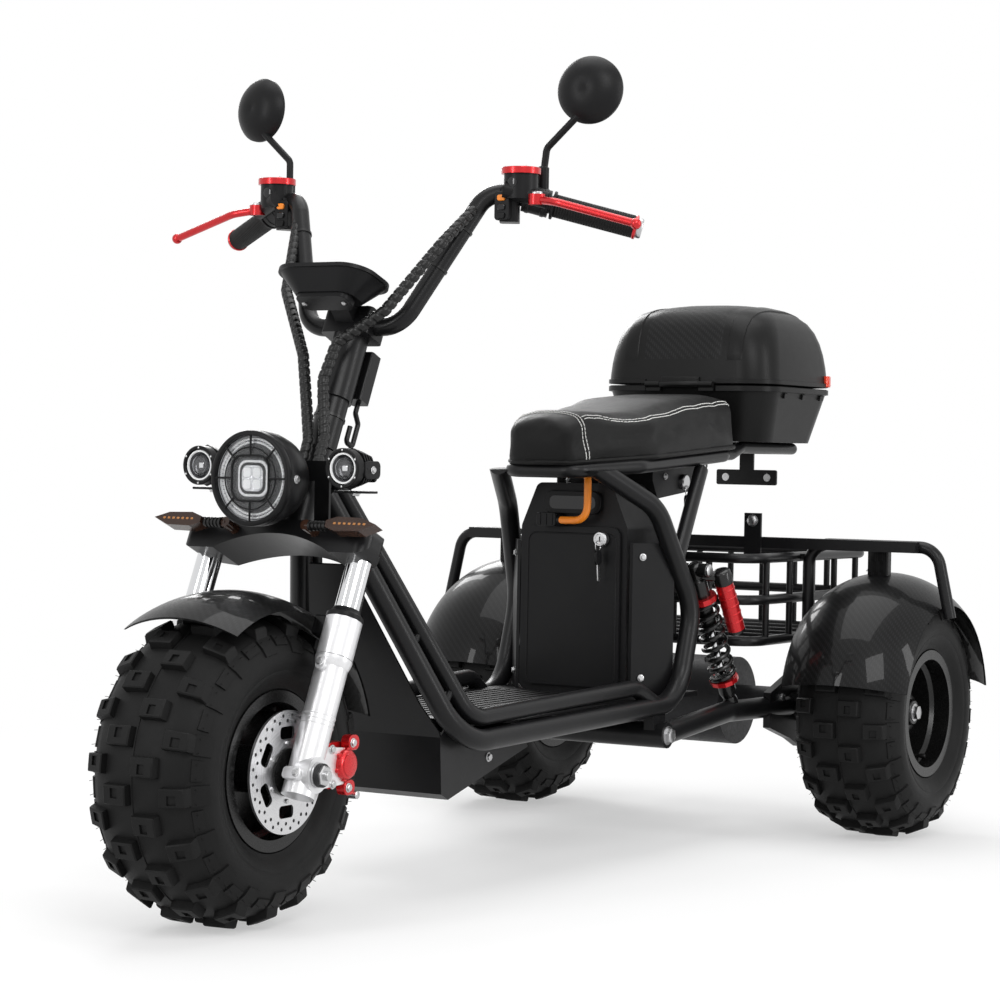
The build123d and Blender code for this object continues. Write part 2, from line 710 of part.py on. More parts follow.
# Outline of the left indicator: distance left, height over its stalk
INDICATOR_LEAF = ((112, -5), (130, -11), (172, -10), (198, 1), (172, 10), (130, 11), (112, 5))
with BuildPart() as indicators:
    rod(
        on_fork(INDICATOR_X, CROWN_FRONT, INDICATOR_UP),
        on_fork(INDICATOR_X, INDICATOR_BACK - 4, INDICATOR_UP),
        8,
    )
    rod(
        on_fork(INDICATOR_X, INDICATOR_BACK, INDICATOR_UP),
        on_fork(INDICATOR_LEAF[0][0] + 6, INDICATOR_BACK, INDICATOR_UP),
        5,
    )
    leaf = [(left, INDICATOR_UP + up) for left, up in INDICATOR_LEAF]
    plate(fork_face(INDICATOR_BACK + 11), leaf, 22)
    mirror(about=Plane.YZ)
save(indicators, "indicators")


# Front mudguard and brake
def guard_shell(x, back, radius, half, drop, start, sweep_angle):
    """Bowed sheet swept round an axle from an angle ahead of the top."""
    with BuildSketch(wheel_plane(x, back).rotated((start, 0, 0))) as section:
        with BuildLine():
            outer = ThreePointArc((-half, radius - drop), (0, radius), (half, radius - drop))
            edge = Line(outer @ 1, (half - GUARD_THICKNESS, radius - drop))
            inner = ThreePointArc(
                edge @ 1,
                (0, radius - GUARD_THICKNESS),
                (-half + GUARD_THICKNESS, radius - drop),
            )
            Line(inner @ 1, outer @ 0)
        make_face()
    revolve(section.sketch, axis=axle_line(back), revolution_arc=sweep_angle)


with BuildPart() as front_guard:
    guard_shell(0, 0, FRONT_GUARD_RADIUS, FRONT_GUARD_HALF, FRONT_GUARD_DROP, 30, -104)
    block(
        fork_side(FRONT_GUARD_HALF - GUARD_THICKNESS),
        (-FORK_OFFSET, LEG_TOP - 17),
        (36, 30),
        4,
        FORK_X - FRONT_GUARD_HALF,
    )
    mirror(about=Plane.YZ)
    add(fork_legs.part, mode=Mode.SUBTRACT)
save(front_guard, "front_guard")

CALIPER_INNER = DISC_X - 12
with BuildPart() as caliper:
    block(side(CALIPER_INNER), (CALIPER_BACK, CALIPER_UP), CALIPER_SIZE, 10, LUG_PLATE_X - CALIPER_INNER)
    disc_slot = DISC_THICKNESS + 2 * DISC_GAP
    with BuildSketch(side(DISC_X - disc_slot / 2)):
        with Locations((0, TYRE_RADIUS)):
            Circle(DISC_RADIUS + DISC_GAP + 1)
    extrude(amount=disc_slot, mode=Mode.SUBTRACT)
save(caliper, "caliper")

# Leads that the steering carries, each along its own corner points
HOSE_RADIUS = 3.5
with BuildPart() as brake_hose:
    bent_tube(
        (
            at(DISC_X + 12, CALIPER_BACK, CALIPER_UP + 24),
            at(DISC_X + 14, CALIPER_BACK, CALIPER_UP + 62),
            on_fork(FORK_X - 2, 16, 130),
            on_fork(FORK_X - 2, 14, CROWN_BOTTOM - 40),
            on_fork(FORK_X - 20, 2, CROWN_BOTTOM + 6),
        ),
        14,
        HOSE_RADIUS,
    )
    add(caliper.part, mode=Mode.SUBTRACT)
    add(fork_crown.part, mode=Mode.SUBTRACT)
save(brake_hose, "brake_hose")

LOOM_RADIUS = 9
LOOM_BEND = 24
LOOM_START = BAR_POINTS[1] + (BAR_POINTS[2] - BAR_POINTS[1]) * 0.9
LOOM_END = BRACKET_BACK + BRACKET_THICKNESS
with BuildPart() as wiring_looms:
    bent_tube(
        (
            LOOM_START,
            at(146, 322, 1000),
            at(88, 256, 894),
            at(20, 230, 846),
            at(9, 212, 790),
            at(32, 185, 706),
            at(40, LOOM_END - 8, LAMP_HEIGHT + 14),
        ),
        LOOM_BEND,
        LOOM_RADIUS,
    )
    bent_tube(
        (
            Vector(-LOOM_START.X, LOOM_START.Y, LOOM_START.Z),
            at(-124, 300, 930),
            at(-42, 232, 828),
            at(-14, 202, 760),
            at(10, 176, 700),
            at(14, LOOM_END - 8, LAMP_HEIGHT + 16),
        ),
        LOOM_BEND,
        LOOM_RADIUS,
    )
    add(handlebar.part, mode=Mode.SUBTRACT)
    block(across(LOOM_END), (0, LAMP_HEIGHT), (200, 120), 4, 60, Mode.SUBTRACT)
save(wiring_looms, "wiring_looms")

# Main frame
CORNER_FRONT = at(150, 394, 238)
CORNER_LOW = at(178, 1060, 258)
RAIL_SPLIT = CORNER_FRONT + (CORNER_LOW - CORNER_FRONT) * 0.36
FRAME_BEND = 90
FRONT_BEND = 110
NECK_X = 22
with BuildPart() as head_tube:
    rod(on_fork(0, 0, HEAD_BOTTOM), on_fork(0, 0, HEAD_TOP), HEAD_RADIUS)
    rod(on_fork(0, 0, HEAD_BOTTOM), on_fork(0, 0, HEAD_TOP), STEERER_RADIUS + RUNNING_FIT, Mode.SUBTRACT)
save(head_tube, "head_tube")

with BuildPart() as head_bore:
    rod(on_fork(0, 0, HEAD_BOTTOM - 40), on_fork(0, 0, HEAD_TOP + 40), HEAD_RADIUS)

with BuildPart() as side_rails:
    bent_tube(
        (RAIL_SPLIT, CORNER_LOW, at(178, 1112, 420), at(150, 1025, 596), at(96, 900, 664)),
        FRAME_BEND,
        TUBE_RADIUS,
    )
    mirror(about=Plane.YZ)

FLOOR_CORNER = at(144, 430, FLOOR_TOP + 3)
FLOOR_TUBE_END = CORNER_FRONT + (CORNER_LOW - CORNER_FRONT) * 0.9
FLOOR_TUBE_BEND = 60
NECK_FRONT = on_fork(NECK_X, 12, 440)
NECK_REAR = on_fork(NECK_X, 26, 470)
CLIP_RADIUS = 6
with BuildPart() as front_runs:
    bent_tube((NECK_FRONT, CORNER_FRONT, RAIL_SPLIT), FRONT_BEND, TUBE_RADIUS)
    mirror(about=Plane.YZ)
with BuildPart() as floor_runs:
    bent_tube(
        (NECK_REAR, FLOOR_CORNER, at(164, 930, FLOOR_TOP + 21), FLOOR_TUBE_END),
        FLOOR_TUBE_BEND,
        FLOOR_TUBE_RADIUS,
    )
    mirror(about=Plane.YZ)
with BuildPart() as neck_gusset:
    gusset_plane = Plane(origin=on_fork(0, 30, 452), x_dir=(1, 0, 0), z_dir=(0, 0.46, -0.89))
    block(gusset_plane, (0, 0), (62, 40), 10, 96)
with BuildPart() as down_tubes:
    for share in (0.3, 0.62, 0.86):
        outer = NECK_FRONT + (CORNER_FRONT - NECK_FRONT) * share
        inner = NECK_REAR + (FLOOR_CORNER - NECK_REAR) * share
        rod(outer, inner, CLIP_RADIUS)
    mirror(about=Plane.YZ)
    for piece in (front_runs, floor_runs, neck_gusset):
        add(piece.part)
    add(head_bore.part, mode=Mode.SUBTRACT)
    add(side_rails.part, mode=Mode.SUBTRACT)
save(down_tubes, "down_tubes")

SEAT_PLANE = Plane(
    origin=at(0, SEAT_FRONT, SEAT_LOW),
    x_dir=(1, 0, 0),
    z_dir=(0, -sin(radians(SEAT_TILT)), cos(radians(SEAT_TILT))),
)
RING_HALF = 118
RING_INSET = 18


def seat_ring_point(x, back):
    """Point on the middle line of the ring tube under the seat."""
    return SEAT_PLANE.from_local_coords(Vector(x, back, -RING_RADIUS))


with BuildPart() as seat_ring:
    ring_half = (
        seat_ring_point(0, RING_INSET),
        seat_ring_point(62, RING_INSET),
        seat_ring_point(RING_HALF, 150),
        seat_ring_point(RING_HALF, SEAT_LENGTH - RING_INSET),
        seat_ring_point(0, SEAT_LENGTH - RING_INSET),
    )
    bent_tube(ring_half, 30, RING_RADIUS)
    mirror(about=Plane.YZ)
save(seat_ring, "seat_ring")

with BuildPart() as side_hoops:
    add(side_rails.part)
    with BuildSketch(SEAT_PLANE.offset(-RING_RADIUS)):
        Rectangle(400, 600)
    extrude(amount=60, mode=Mode.SUBTRACT)
    add(seat_ring.part, mode=Mode.SUBTRACT)
save(side_hoops, "side_hoops")

# Half outline of the seat: distance left, distance behind its front edge
SEAT_OUTLINE = ((64, 0), (132, 190), (136, SEAT_LENGTH))
SEAT_CORNER = 34
SEAT_EDGE = 24
with BuildPart() as seat:
    with BuildSketch(SEAT_PLANE):
        with BuildLine():
            Polyline(*SEAT_OUTLINE, *[(-x, back) for x, back in reversed(SEAT_OUTLINE)], close=True)
        make_face()
        fillet(vertices(), SEAT_CORNER)
    extrude(amount=SEAT_THICKNESS)
    fillet(faces().sort_by(Axis.Z)[-1].edges(), SEAT_EDGE)
save(seat, "seat")

# Half outline of the floor: distance left, distance behind the front axle
FLOOR_OUTLINE = ((142, 436), (166, 1000), (158, 1052), (158, 1176))
with BuildPart() as footboard:
    floor_shape = (*FLOOR_OUTLINE, *[(-x, back) for x, back in reversed(FLOOR_OUTLINE)])
    plate(level(FLOOR_TOP - FLOOR_THICKNESS), floor_shape, FLOOR_THICKNESS)
    add(side_rails.part, mode=Mode.SUBTRACT)
    add(down_tubes.part, mode=Mode.SUBTRACT)
save(footboard, "footboard")

SKID_HALF = 124
SKID_SHEET = 3
# Belly sheet seen from the side: distance behind the front axle, height
SKID_LINE = ((246, 512), (376, 248), (382, 160), (402, 150), (640, 212))
with BuildPart() as skid_plate:
    sheet_back = [(back + SKID_SHEET, up + 2) for back, up in reversed(SKID_LINE)]
    plate(side(-SKID_HALF), (*SKID_LINE, *sheet_back), 2 * SKID_HALF)
    cheek = (SKID_LINE[1], SKID_LINE[2], SKID_LINE[3], SKID_LINE[4], (640, 236), (470, 232), (392, 262))
    for x in (-SKID_HALF, SKID_HALF - SKID_SHEET):
        plate(side(x), cheek, SKID_SHEET)
    front_view = ((20, 560), (102, 298), (SKID_HALF, 258), (SKID_HALF, 120))
    with BuildSketch(across(0)):
        with BuildLine():
            Polyline(*front_view, *[(-x, up) for x, up in reversed(front_view)], close=True)
        make_face()
    extrude(amount=-900, mode=Mode.INTERSECT)
    add(side_rails.part, mode=Mode.SUBTRACT)
save(skid_plate, "skid_plate")

BATTERY_PLATE = 6
HANDLE_HALF = 42
HANDLE_RADIUS = 8
HANDLE_BACK = BATTERY_FRONT + 26
with BuildPart() as battery:
    shell = ((BATTERY_HALF, FLOOR_TOP), (BATTERY_HALF, BATTERY_SHOULDER), (74, BATTERY_TOP))
    with BuildSketch(across(BATTERY_BACK)):
        with BuildLine():
            Polyline(*shell, *[(-x, up) for x, up in reversed(shell)], close=True)
        make_face()
        fillet(vertices(), 14)
    extrude(amount=BATTERY_BACK - BATTERY_FRONT)
    plate_low = FLOOR_TOP + 10
    with BuildSketch(across(BATTERY_FRONT)):
        with Locations((0, plate_low + (BATTERY_SHOULDER - plate_low) / 2)):
            RectangleRounded(2 * BATTERY_HALF - 22, BATTERY_SHOULDER - plate_low, 16)
    extrude(amount=BATTERY_PLATE)
    bent_tube(
        (
            at(-HANDLE_HALF, HANDLE_BACK, BATTERY_TOP - 8),
            at(-HANDLE_HALF, HANDLE_BACK, BATTERY_TOP + 18),
            at(HANDLE_HALF, HANDLE_BACK, BATTERY_TOP + 18),
            at(HANDLE_HALF, HANDLE_BACK, BATTERY_TOP - 8),
        ),
        12,
        HANDLE_RADIUS,
    )
    rod(at(62, BATTERY_FRONT - BATTERY_PLATE - 6, 540), at(62, BATTERY_FRONT, 540), 10)
save(battery, "battery")

LEAD_RADIUS = 6.5
LEAD_FRONT = BATTERY_FRONT - 32
with BuildPart() as battery_lead:
    bent_tube(
        (
            at(-26, BATTERY_FRONT, 572),
            at(-26, LEAD_FRONT, 568),
            at(44, LEAD_FRONT, 574),
            at(44, LEAD_FRONT, 640),
            at(30, LEAD_FRONT + 16, SEAT_LOW + 20),
        ),
        18,
        LEAD_RADIUS,
    )
    add(battery.part, mode=Mode.SUBTRACT)
    add(seat.part, mode=Mode.SUBTRACT)
    add(seat_ring.part, mode=Mode.SUBTRACT)
save(battery_lead, "battery_lead")

BAY_SHEET = 6
BAY_TOP = 534
# Slanted wall beside the battery, seen from above: distance left, distance behind the front axle
BAY_WALL = ((110, 1004), (110 + BAY_SHEET, 1004), (163, 1070), (163 - BAY_SHEET, 1073))
with BuildPart() as bay_panels:
    plate(level(FLOOR_TOP), BAY_WALL, BAY_TOP - FLOOR_TOP)
    mirror(about=Plane.YZ)
    add(side_hoops.part, mode=Mode.SUBTRACT)
    add(down_tubes.part, mode=Mode.SUBTRACT)
save(bay_panels, "bay_panels")

LOCK_BOX_HALF = 84
# Wedge under the seat, seen from the side: distance behind the front axle, height
LOCK_BOX = ((1132, 700), (1132, 642), (1152, 610), (1308, 626), (1348, 668), (1348, 712))
with BuildPart() as lock_box:
    plate(side(-LOCK_BOX_HALF), LOCK_BOX, 2 * LOCK_BOX_HALF)
    add(seat.part, mode=Mode.SUBTRACT)
    with BuildSketch(SEAT_PLANE):
        Rectangle(600, 2 * SEAT_REAR)
    extrude(amount=120, mode=Mode.SUBTRACT)
save(lock_box, "lock_box")

LOW_RAIL = 246
with BuildPart() as frame_braces:
    rod(at(166, 1070, 500), at(122, 1246, 662), BRACE_RADIUS)
    rod(at(170, 1105, 330), at(170, 1190, 330), BRACE_RADIUS)
    rod(at(0, 1190, 330), at(180, 1190, 330), BRACE_RADIUS)
    mirror(about=Plane.YZ)
    for back in (560, 920):
        rod(at(-164, back, LOW_RAIL), at(164, back, LOW_RAIL), BRACE_RADIUS - 1)
    add(side_rails.part, mode=Mode.SUBTRACT)
    add(down_tubes.part, mode=Mode.SUBTRACT)
    add(seat_ring.part, mode=Mode.SUBTRACT)
save(frame_braces, "frame_braces")

# Rear end
PIVOT_BACK = 985
PIVOT_UP = 208
PIVOT_HALF = 200
ARM_X = 186
CARRIER_X = 205
CARRIER_SHEET = 14
HOUSING_RADIUS = 30
MOTOR_RADIUS = 82
MOTOR_HALF = 90
# Plate that carries the axle housing: distance behind the rear axle, height over it
CARRIER = ((-128, -34), (-128, 30), (-30, 62), (16, 60), (46, 20), (46, -34), (4, -78), (-40, -60))
with BuildPart() as rear_arm:
    rod(at(-PIVOT_HALF, PIVOT_BACK, PIVOT_UP), at(PIVOT_HALF, PIVOT_BACK, PIVOT_UP), ARM_RADIUS)
    bent_tube(
        (
            at(ARM_X, PIVOT_BACK, PIVOT_UP),
            at(ARM_X, WHEELBASE - 240, TYRE_RADIUS + 2),
            at(CARRIER_X + 9, WHEELBASE - 40, TYRE_RADIUS + 2),
        ),
        FRAME_BEND,
        ARM_TUBE_RADIUS,
    )
    plate(side(CARRIER_X), [(WHEELBASE + back, TYRE_RADIUS + up) for back, up in CARRIER], CARRIER_SHEET)
    block(side(164), (PIVOT_BACK, PIVOT_UP + 20), (40, 44), 4, 20)
    mirror(about=Plane.YZ)
    add(side_rails.part, mode=Mode.SUBTRACT)
    rod(at(-230, WHEELBASE, TYRE_RADIUS), at(230, WHEELBASE, TYRE_RADIUS), HOUSING_RADIUS, Mode.SUBTRACT)
save(rear_arm, "rear_arm")

with BuildPart() as axle_housing:
    rod(
        at(-HOUSING_REACH, WHEELBASE, TYRE_RADIUS), at(HOUSING_REACH, WHEELBASE, TYRE_RADIUS), HOUSING_RADIUS
    )
    rod(at(-MOTOR_HALF, WHEELBASE, TYRE_RADIUS), at(MOTOR_HALF, WHEELBASE, TYRE_RADIUS), MOTOR_RADIUS)
    for hand in (1, -1):
        rod(
            at(hand * (REAR_X - STUB_DEPTH - 10), WHEELBASE, TYRE_RADIUS),
            at(hand * REAR_X, WHEELBASE, TYRE_RADIUS),
            STUB_RADIUS + RUNNING_FIT,
            Mode.SUBTRACT,
        )
save(axle_housing, "axle_housing")

SHOCK_TOP = at(170, 1134, 486)
SHOCK_FOOT = at(186, WHEELBASE - 222, 240)
SHOCK_LINE = (SHOCK_FOOT - SHOCK_TOP).normalized()
SHOCK_LENGTH = (SHOCK_FOOT - SHOCK_TOP).length
COILS = 7
COIL_SIDES = 12
COIL_RADIUS = 26
COIL_WIRE = 8
COIL_START = 66
COIL_END = SHOCK_LENGTH - 62
SLEEVE_RADIUS = 16
CANISTER_SHIFT = Vector(36, 30, 0)
CANISTER_RADIUS = 16
CANISTER_START = 26
CANISTER_LENGTH = 92


def along_shock(distance, shift=Vector(0, 0, 0)):
    """Point on the left shock's line, measured down from its upper eye and then shifted."""
    return SHOCK_TOP + SHOCK_LINE * distance + shift


def shock_ring(distance, radius, width):
    """Flat-sided ring round the left shock."""
    with BuildSketch(Plane(origin=along_shock(distance), z_dir=SHOCK_LINE)) as ring:
        RegularPolygon(radius, COIL_SIDES)
    extrude(ring.sketch, amount=width)


with BuildPart() as shocks:
    rod(SHOCK_TOP, SHOCK_FOOT, SLEEVE_RADIUS - 4)
    rod(along_shock(18), along_shock(COIL_START), SLEEVE_RADIUS)
    rod(along_shock(COIL_END), along_shock(SHOCK_LENGTH - 8), SLEEVE_RADIUS)
    for coil in range(COILS):
        down = COIL_START + (COIL_END - COIL_START) * coil / (COILS - 1)
        shock_ring(down - COIL_WIRE / 2, COIL_RADIUS, COIL_WIRE)
    rod(SHOCK_TOP - Vector(26, 0, 0), SHOCK_TOP + Vector(26, 0, 0), BRACE_RADIUS)
    rod(along_shock(12), along_shock(12, CANISTER_SHIFT), 9)
    rod(along_shock(2, CANISTER_SHIFT), along_shock(CANISTER_START, CANISTER_SHIFT), CANISTER_RADIUS + 1)
    mirror(about=Plane.YZ)
    add(side_hoops.part, mode=Mode.SUBTRACT)
    add(rear_arm.part, mode=Mode.SUBTRACT)
save(shocks, "shocks")

with BuildPart() as shock_canisters:
    rod(
        along_shock(CANISTER_START, CANISTER_SHIFT),
        along_shock(CANISTER_START + CANISTER_LENGTH, CANISTER_SHIFT),
        CANISTER_RADIUS,
    )
    shock_ring(COIL_START - COIL_WIRE / 2 - 10, COIL_RADIUS, 10)
    shock_ring(COIL_END + COIL_WIRE / 2, COIL_RADIUS, 8)
    mirror(about=Plane.YZ)
    add(shocks.part, mode=Mode.SUBTRACT)
save(shock_canisters, "shock_canisters")

HOOP_BACK = WHEELBASE - 40
HOOP_UP = 530
HOOP_INNER = 250
HOOP_CORNER = 500
HOOP_END = (528, 404)
with BuildPart() as guard_hoops:
    bent_tube(
        (
            at(HOOP_INNER, HOOP_BACK, TYRE_RADIUS + 8),
            at(HOOP_INNER, HOOP_BACK, HOOP_UP),
            at(HOOP_CORNER, HOOP_BACK, HOOP_UP),
            at(HOOP_END[0], HOOP_BACK, HOOP_END[1]),
        ),
        40,
        HOOP_RADIUS,
    )
    rod(at(CARRIER_X + 9, HOOP_BACK, TYRE_RADIUS + 16), at(HOOP_INNER + 6, HOOP_BACK, TYRE_RADIUS + 16), 9)
    mirror(about=Plane.YZ)
    add(rear_arm.part, mode=Mode.SUBTRACT)
    add(axle_housing.part, mode=Mode.SUBTRACT)
save(guard_hoops, "guard_hoops")

GUARD_CREST = TYRE_RADIUS + sqrt(REAR_GUARD_RADIUS**2 - (WHEELBASE - HOOP_BACK) ** 2)
with BuildPart() as rear_guards:
    guard_shell(REAR_X, WHEELBASE, REAR_GUARD_RADIUS, REAR_GUARD_HALF, REAR_GUARD_DROP, 76, -154)
    boss_low = GUARD_CREST - GUARD_THICKNESS / 2
    block(Plane(at(REAR_X, HOOP_BACK, boss_low)), (0, 0), (40, 18), 3, HOOP_UP - boss_low)
    mirror(about=Plane.YZ)
    add(guard_hoops.part, mode=Mode.SUBTRACT)
save(rear_guards, "rear_guards")

BAR_SECTION = (20, 20)
BAR_HALF = 470
BAR_SINK = 2
BAR_BACK = HOOP_BACK - HOOP_RADIUS + BAR_SINK
TAB_X = 150
TAB_SIZE = (34, 84)
TAB_SHEET = 5
TAB_HOLE = 5.5
TAB_HOLE_UP = HOOP_UP + 40
with BuildPart() as cross_bar:
    with BuildSketch(side(-BAR_HALF)):
        with Locations((BAR_BACK - BAR_SECTION[0] / 2, HOOP_UP)):
            Rectangle(*BAR_SECTION)
    extrude(amount=2 * BAR_HALF)
    with BuildSketch(across(BAR_BACK - BAR_SECTION[0])):
        tab_up = TAB_HOLE_UP + 14 - TAB_SIZE[1] / 2
        with Locations((TAB_X, tab_up), (-TAB_X, tab_up)):
            Rectangle(*TAB_SIZE)
        with Locations((TAB_X, TAB_HOLE_UP), (-TAB_X, TAB_HOLE_UP)):
            Circle(TAB_HOLE, mode=Mode.SUBTRACT)
    extrude(amount=TAB_SHEET)
    add(guard_hoops.part, mode=Mode.SUBTRACT)
save(cross_bar, "cross_bar")

BASKET_HALF = 226
BASKET_FRONT = WHEELBASE - 230
BASKET_BACK = WHEELBASE + TAIL_OVERHANG - BASKET_TUBE_RADIUS
BASKET_LOW = 356
BASKET_RIM = 505
BASKET_POSTS = 5
BASKET_RAILS = (BASKET_LOW, 430, BASKET_RIM)
with BuildPart() as basket:
    for height in BASKET_RAILS:
        bent_tube(
            (
                at(0, BASKET_FRONT, height),
                at(BASKET_HALF, BASKET_FRONT, height),
                at(BASKET_HALF, BASKET_BACK, height),
                at(0, BASKET_BACK, height),
            ),
            50,
            BASKET_TUBE_RADIUS,
        )
    post_step = (BASKET_BACK - BASKET_FRONT - 120) / (BASKET_POSTS - 1)
    for post in range(BASKET_POSTS):
        back = BASKET_FRONT + 60 + post_step * post
        rod(at(BASKET_HALF, back, BASKET_LOW), at(BASKET_HALF, back, BASKET_RIM), BASKET_ROD_RADIUS)
        rod(at(0, back, BASKET_LOW), at(BASKET_HALF, back, BASKET_LOW), BASKET_ROD_RADIUS)
    for x in (0, 70, 140):
        for back in (BASKET_FRONT, BASKET_BACK):
            rod(at(x, back, BASKET_LOW), at(x, back, BASKET_RIM), BASKET_ROD_RADIUS)
    rod(at(BASKET_HALF, HOOP_BACK, BASKET_RIM), at(HOOP_INNER, HOOP_BACK, BASKET_RIM), BASKET_ROD_RADIUS)
    mirror(about=Plane.YZ)
    add(guard_hoops.part, mode=Mode.SUBTRACT)
save(basket, "basket")


# Top case
def case_loft(low, high, low_size, high_size, inset, mode=Mode.ADD):
    """Rounded box between two heights, each with its own width and depth."""
    with BuildSketch(level(low)) as first:
        with Locations((0, CASE_MIDDLE)):
            RectangleRounded(low_size[0] - 2 * inset, low_size[1] - 2 * inset, CASE_CORNER - inset)
    with BuildSketch(level(high)) as second:
        with Locations((0, CASE_MIDDLE)):
            RectangleRounded(high_size[0] - 2 * inset, high_size[1] - 2 * inset, CASE_CORNER - inset)
    loft([first.sketch.face(), second.sketch.face()], mode=mode)


CASE_RIM_SIZE = (CASE_WIDTH, CASE_DEPTH)
CASE_FOOT_SIZE = (CASE_WIDTH - CASE_FLARE, CASE_DEPTH - CASE_FLARE)
CASE_CROWN_SIZE = (CASE_WIDTH - LID_TAPER, CASE_DEPTH - LID_TAPER)
with BuildPart() as case_base:
    case_loft(CASE_FLOOR, CASE_RIM, CASE_FOOT_SIZE, CASE_RIM_SIZE, 0)
    case_loft(CASE_FLOOR + CASE_WALL, CASE_RIM, CASE_FOOT_SIZE, CASE_RIM_SIZE, CASE_WALL, Mode.SUBTRACT)
    with BuildSketch(side(HINGE_HALF + 0.5)):
        with Locations((HINGE_BACK, HINGE_HEIGHT)):
            Circle(HINGE_RADIUS)
        with Locations((HINGE_BACK + 4, HINGE_HEIGHT - 7)):
            Rectangle(8, 10)
    extrude(amount=30)
    mirror(about=Plane.YZ)
    pin_half = HINGE_HALF + 20
    rod(at(-pin_half, HINGE_BACK, HINGE_HEIGHT), at(pin_half, HINGE_BACK, HINGE_HEIGHT), HINGE_PIN)
save(case_base, "case_base")

with BuildPart() as lid_form:
    case_loft(CASE_RIM + LID_GAP, CASE_TOP, CASE_RIM_SIZE, CASE_CROWN_SIZE, 0)
    fillet(faces().sort_by(Axis.Z)[-1].edges(), LID_ROUND)

with BuildPart() as lid_space:
    case_loft(CASE_RIM + LID_GAP, CASE_TOP - CASE_WALL, CASE_RIM_SIZE, CASE_CROWN_SIZE, CASE_WALL)
    fillet(faces().sort_by(Axis.Z)[-1].edges(), LID_ROUND - CASE_WALL)

with BuildPart() as case_lid:
    add(lid_form.part)
    add(lid_space.part, mode=Mode.SUBTRACT)
    with BuildSketch(side(-HINGE_HALF)):
        with Locations((HINGE_BACK, HINGE_HEIGHT)):
            Circle(HINGE_RADIUS)
        with Locations((HINGE_BACK + 4, HINGE_HEIGHT + 7)):
            Rectangle(8, 10)
        with Locations((HINGE_BACK, HINGE_HEIGHT)):
            Circle(HINGE_PIN + RUNNING_FIT, mode=Mode.SUBTRACT)
    extrude(amount=2 * HINGE_HALF)
save(case_lid, "case_lid")

REFLECTOR_HALF = 118
REFLECTOR_HEIGHT = 20
REFLECTOR_PROUD = 7
CASE_TAIL = CASE_MIDDLE + CASE_DEPTH / 2
with BuildPart() as case_reflector:
    block(
        across(CASE_TAIL + REFLECTOR_PROUD),
        (0, CASE_RIM + LID_GAP + 6 + REFLECTOR_HEIGHT / 2),
        (2 * REFLECTOR_HALF, REFLECTOR_HEIGHT),
        4,
        3 * REFLECTOR_PROUD,
    )
    add(lid_form.part, mode=Mode.SUBTRACT)
save(case_reflector, "case_reflector")

RACK_X = 100
RACK_UP = CASE_FLOOR - RACK_RADIUS
RACK_TAIL = CASE_MIDDLE + CASE_DEPTH / 2 - 29
TAIL_PLATE = (130, 30)
TAIL_PLATE_UP = 648
with BuildPart() as rack:
    bent_tube(
        (
            seat_ring_point(RACK_X, SEAT_LENGTH - RING_INSET - 4),
            at(RACK_X, SEAT_REAR + 27, RACK_UP - 13),
            at(RACK_X, SEAT_REAR + 65, RACK_UP),
            at(RACK_X, RACK_TAIL, RACK_UP),
            at(0, RACK_TAIL, RACK_UP),
        ),
        16,
        RACK_RADIUS,
    )
    mirror(about=Plane.YZ)
    block(across(RACK_TAIL), (0, TAIL_PLATE_UP), TAIL_PLATE, 4, 5)
    block(across(RACK_TAIL), (0, (TAIL_PLATE_UP + RACK_UP) / 2), (30, RACK_UP - TAIL_PLATE_UP), 2, 5)
    add(seat_ring.part, mode=Mode.SUBTRACT)
save(rack, "rack")
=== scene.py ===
import json
from math import copysign, cos, exp, pi, radians, sin, tan

import bmesh
import bpy
from mathutils import Matrix, Vector
from mathutils.bvhtree import BVHTree


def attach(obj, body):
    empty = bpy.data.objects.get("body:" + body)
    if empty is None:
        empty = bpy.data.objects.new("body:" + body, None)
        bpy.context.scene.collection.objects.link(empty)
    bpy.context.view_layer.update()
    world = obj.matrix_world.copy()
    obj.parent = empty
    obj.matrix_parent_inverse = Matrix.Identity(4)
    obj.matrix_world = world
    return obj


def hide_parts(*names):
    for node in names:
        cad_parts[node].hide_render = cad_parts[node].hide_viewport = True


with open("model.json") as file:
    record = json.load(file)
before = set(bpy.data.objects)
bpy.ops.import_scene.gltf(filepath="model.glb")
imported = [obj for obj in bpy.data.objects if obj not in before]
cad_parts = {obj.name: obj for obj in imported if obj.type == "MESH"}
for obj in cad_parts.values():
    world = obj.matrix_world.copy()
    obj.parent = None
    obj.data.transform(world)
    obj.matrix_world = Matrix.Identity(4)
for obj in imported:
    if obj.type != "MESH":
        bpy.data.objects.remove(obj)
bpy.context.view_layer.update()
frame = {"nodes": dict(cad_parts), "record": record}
NODES = frame["nodes"]
RECORD = frame["record"]

# Sizes shared with the part, in millimetres
FRONT_AXLE = -774
TYRE_RADIUS = 228
WHEELBASE = 1480
REAR_X = 390
LEG_X = 135
FORK_OFFSET = 17
LAMP_HEIGHT = 641.9
FOG_HEIGHT = 658.9
FOG_X = 129
FOG_BACK = 92
SEAT_FRONT = 868
SEAT_UNDER = 668
SEAT_HEIGHT = 98
RAKE = radians(24)
STEER_UP = Vector((0, sin(RAKE), cos(RAKE)))
STEER_BACK = Vector((0, cos(RAKE), -sin(RAKE)))
SEAT_TILT = radians(4)
# What is modelled on the left stands on the right as its mirror image
MIRROR = Matrix.Scale(-1, 4, Vector((1, 0, 0)))
SIDES = (Matrix(), MIRROR)


def metres(x, y, z):
    """Vector in metres from millimetres."""
    return Vector((x, y, z)) / 1000


def at(x, back, up):
    """Place in metres from distances left, behind the front axle and over the ground."""
    return metres(x, FRONT_AXLE + back, up)


STEER_FOOT = at(0, 0, TYRE_RADIUS) + STEER_BACK * FORK_OFFSET / 1000


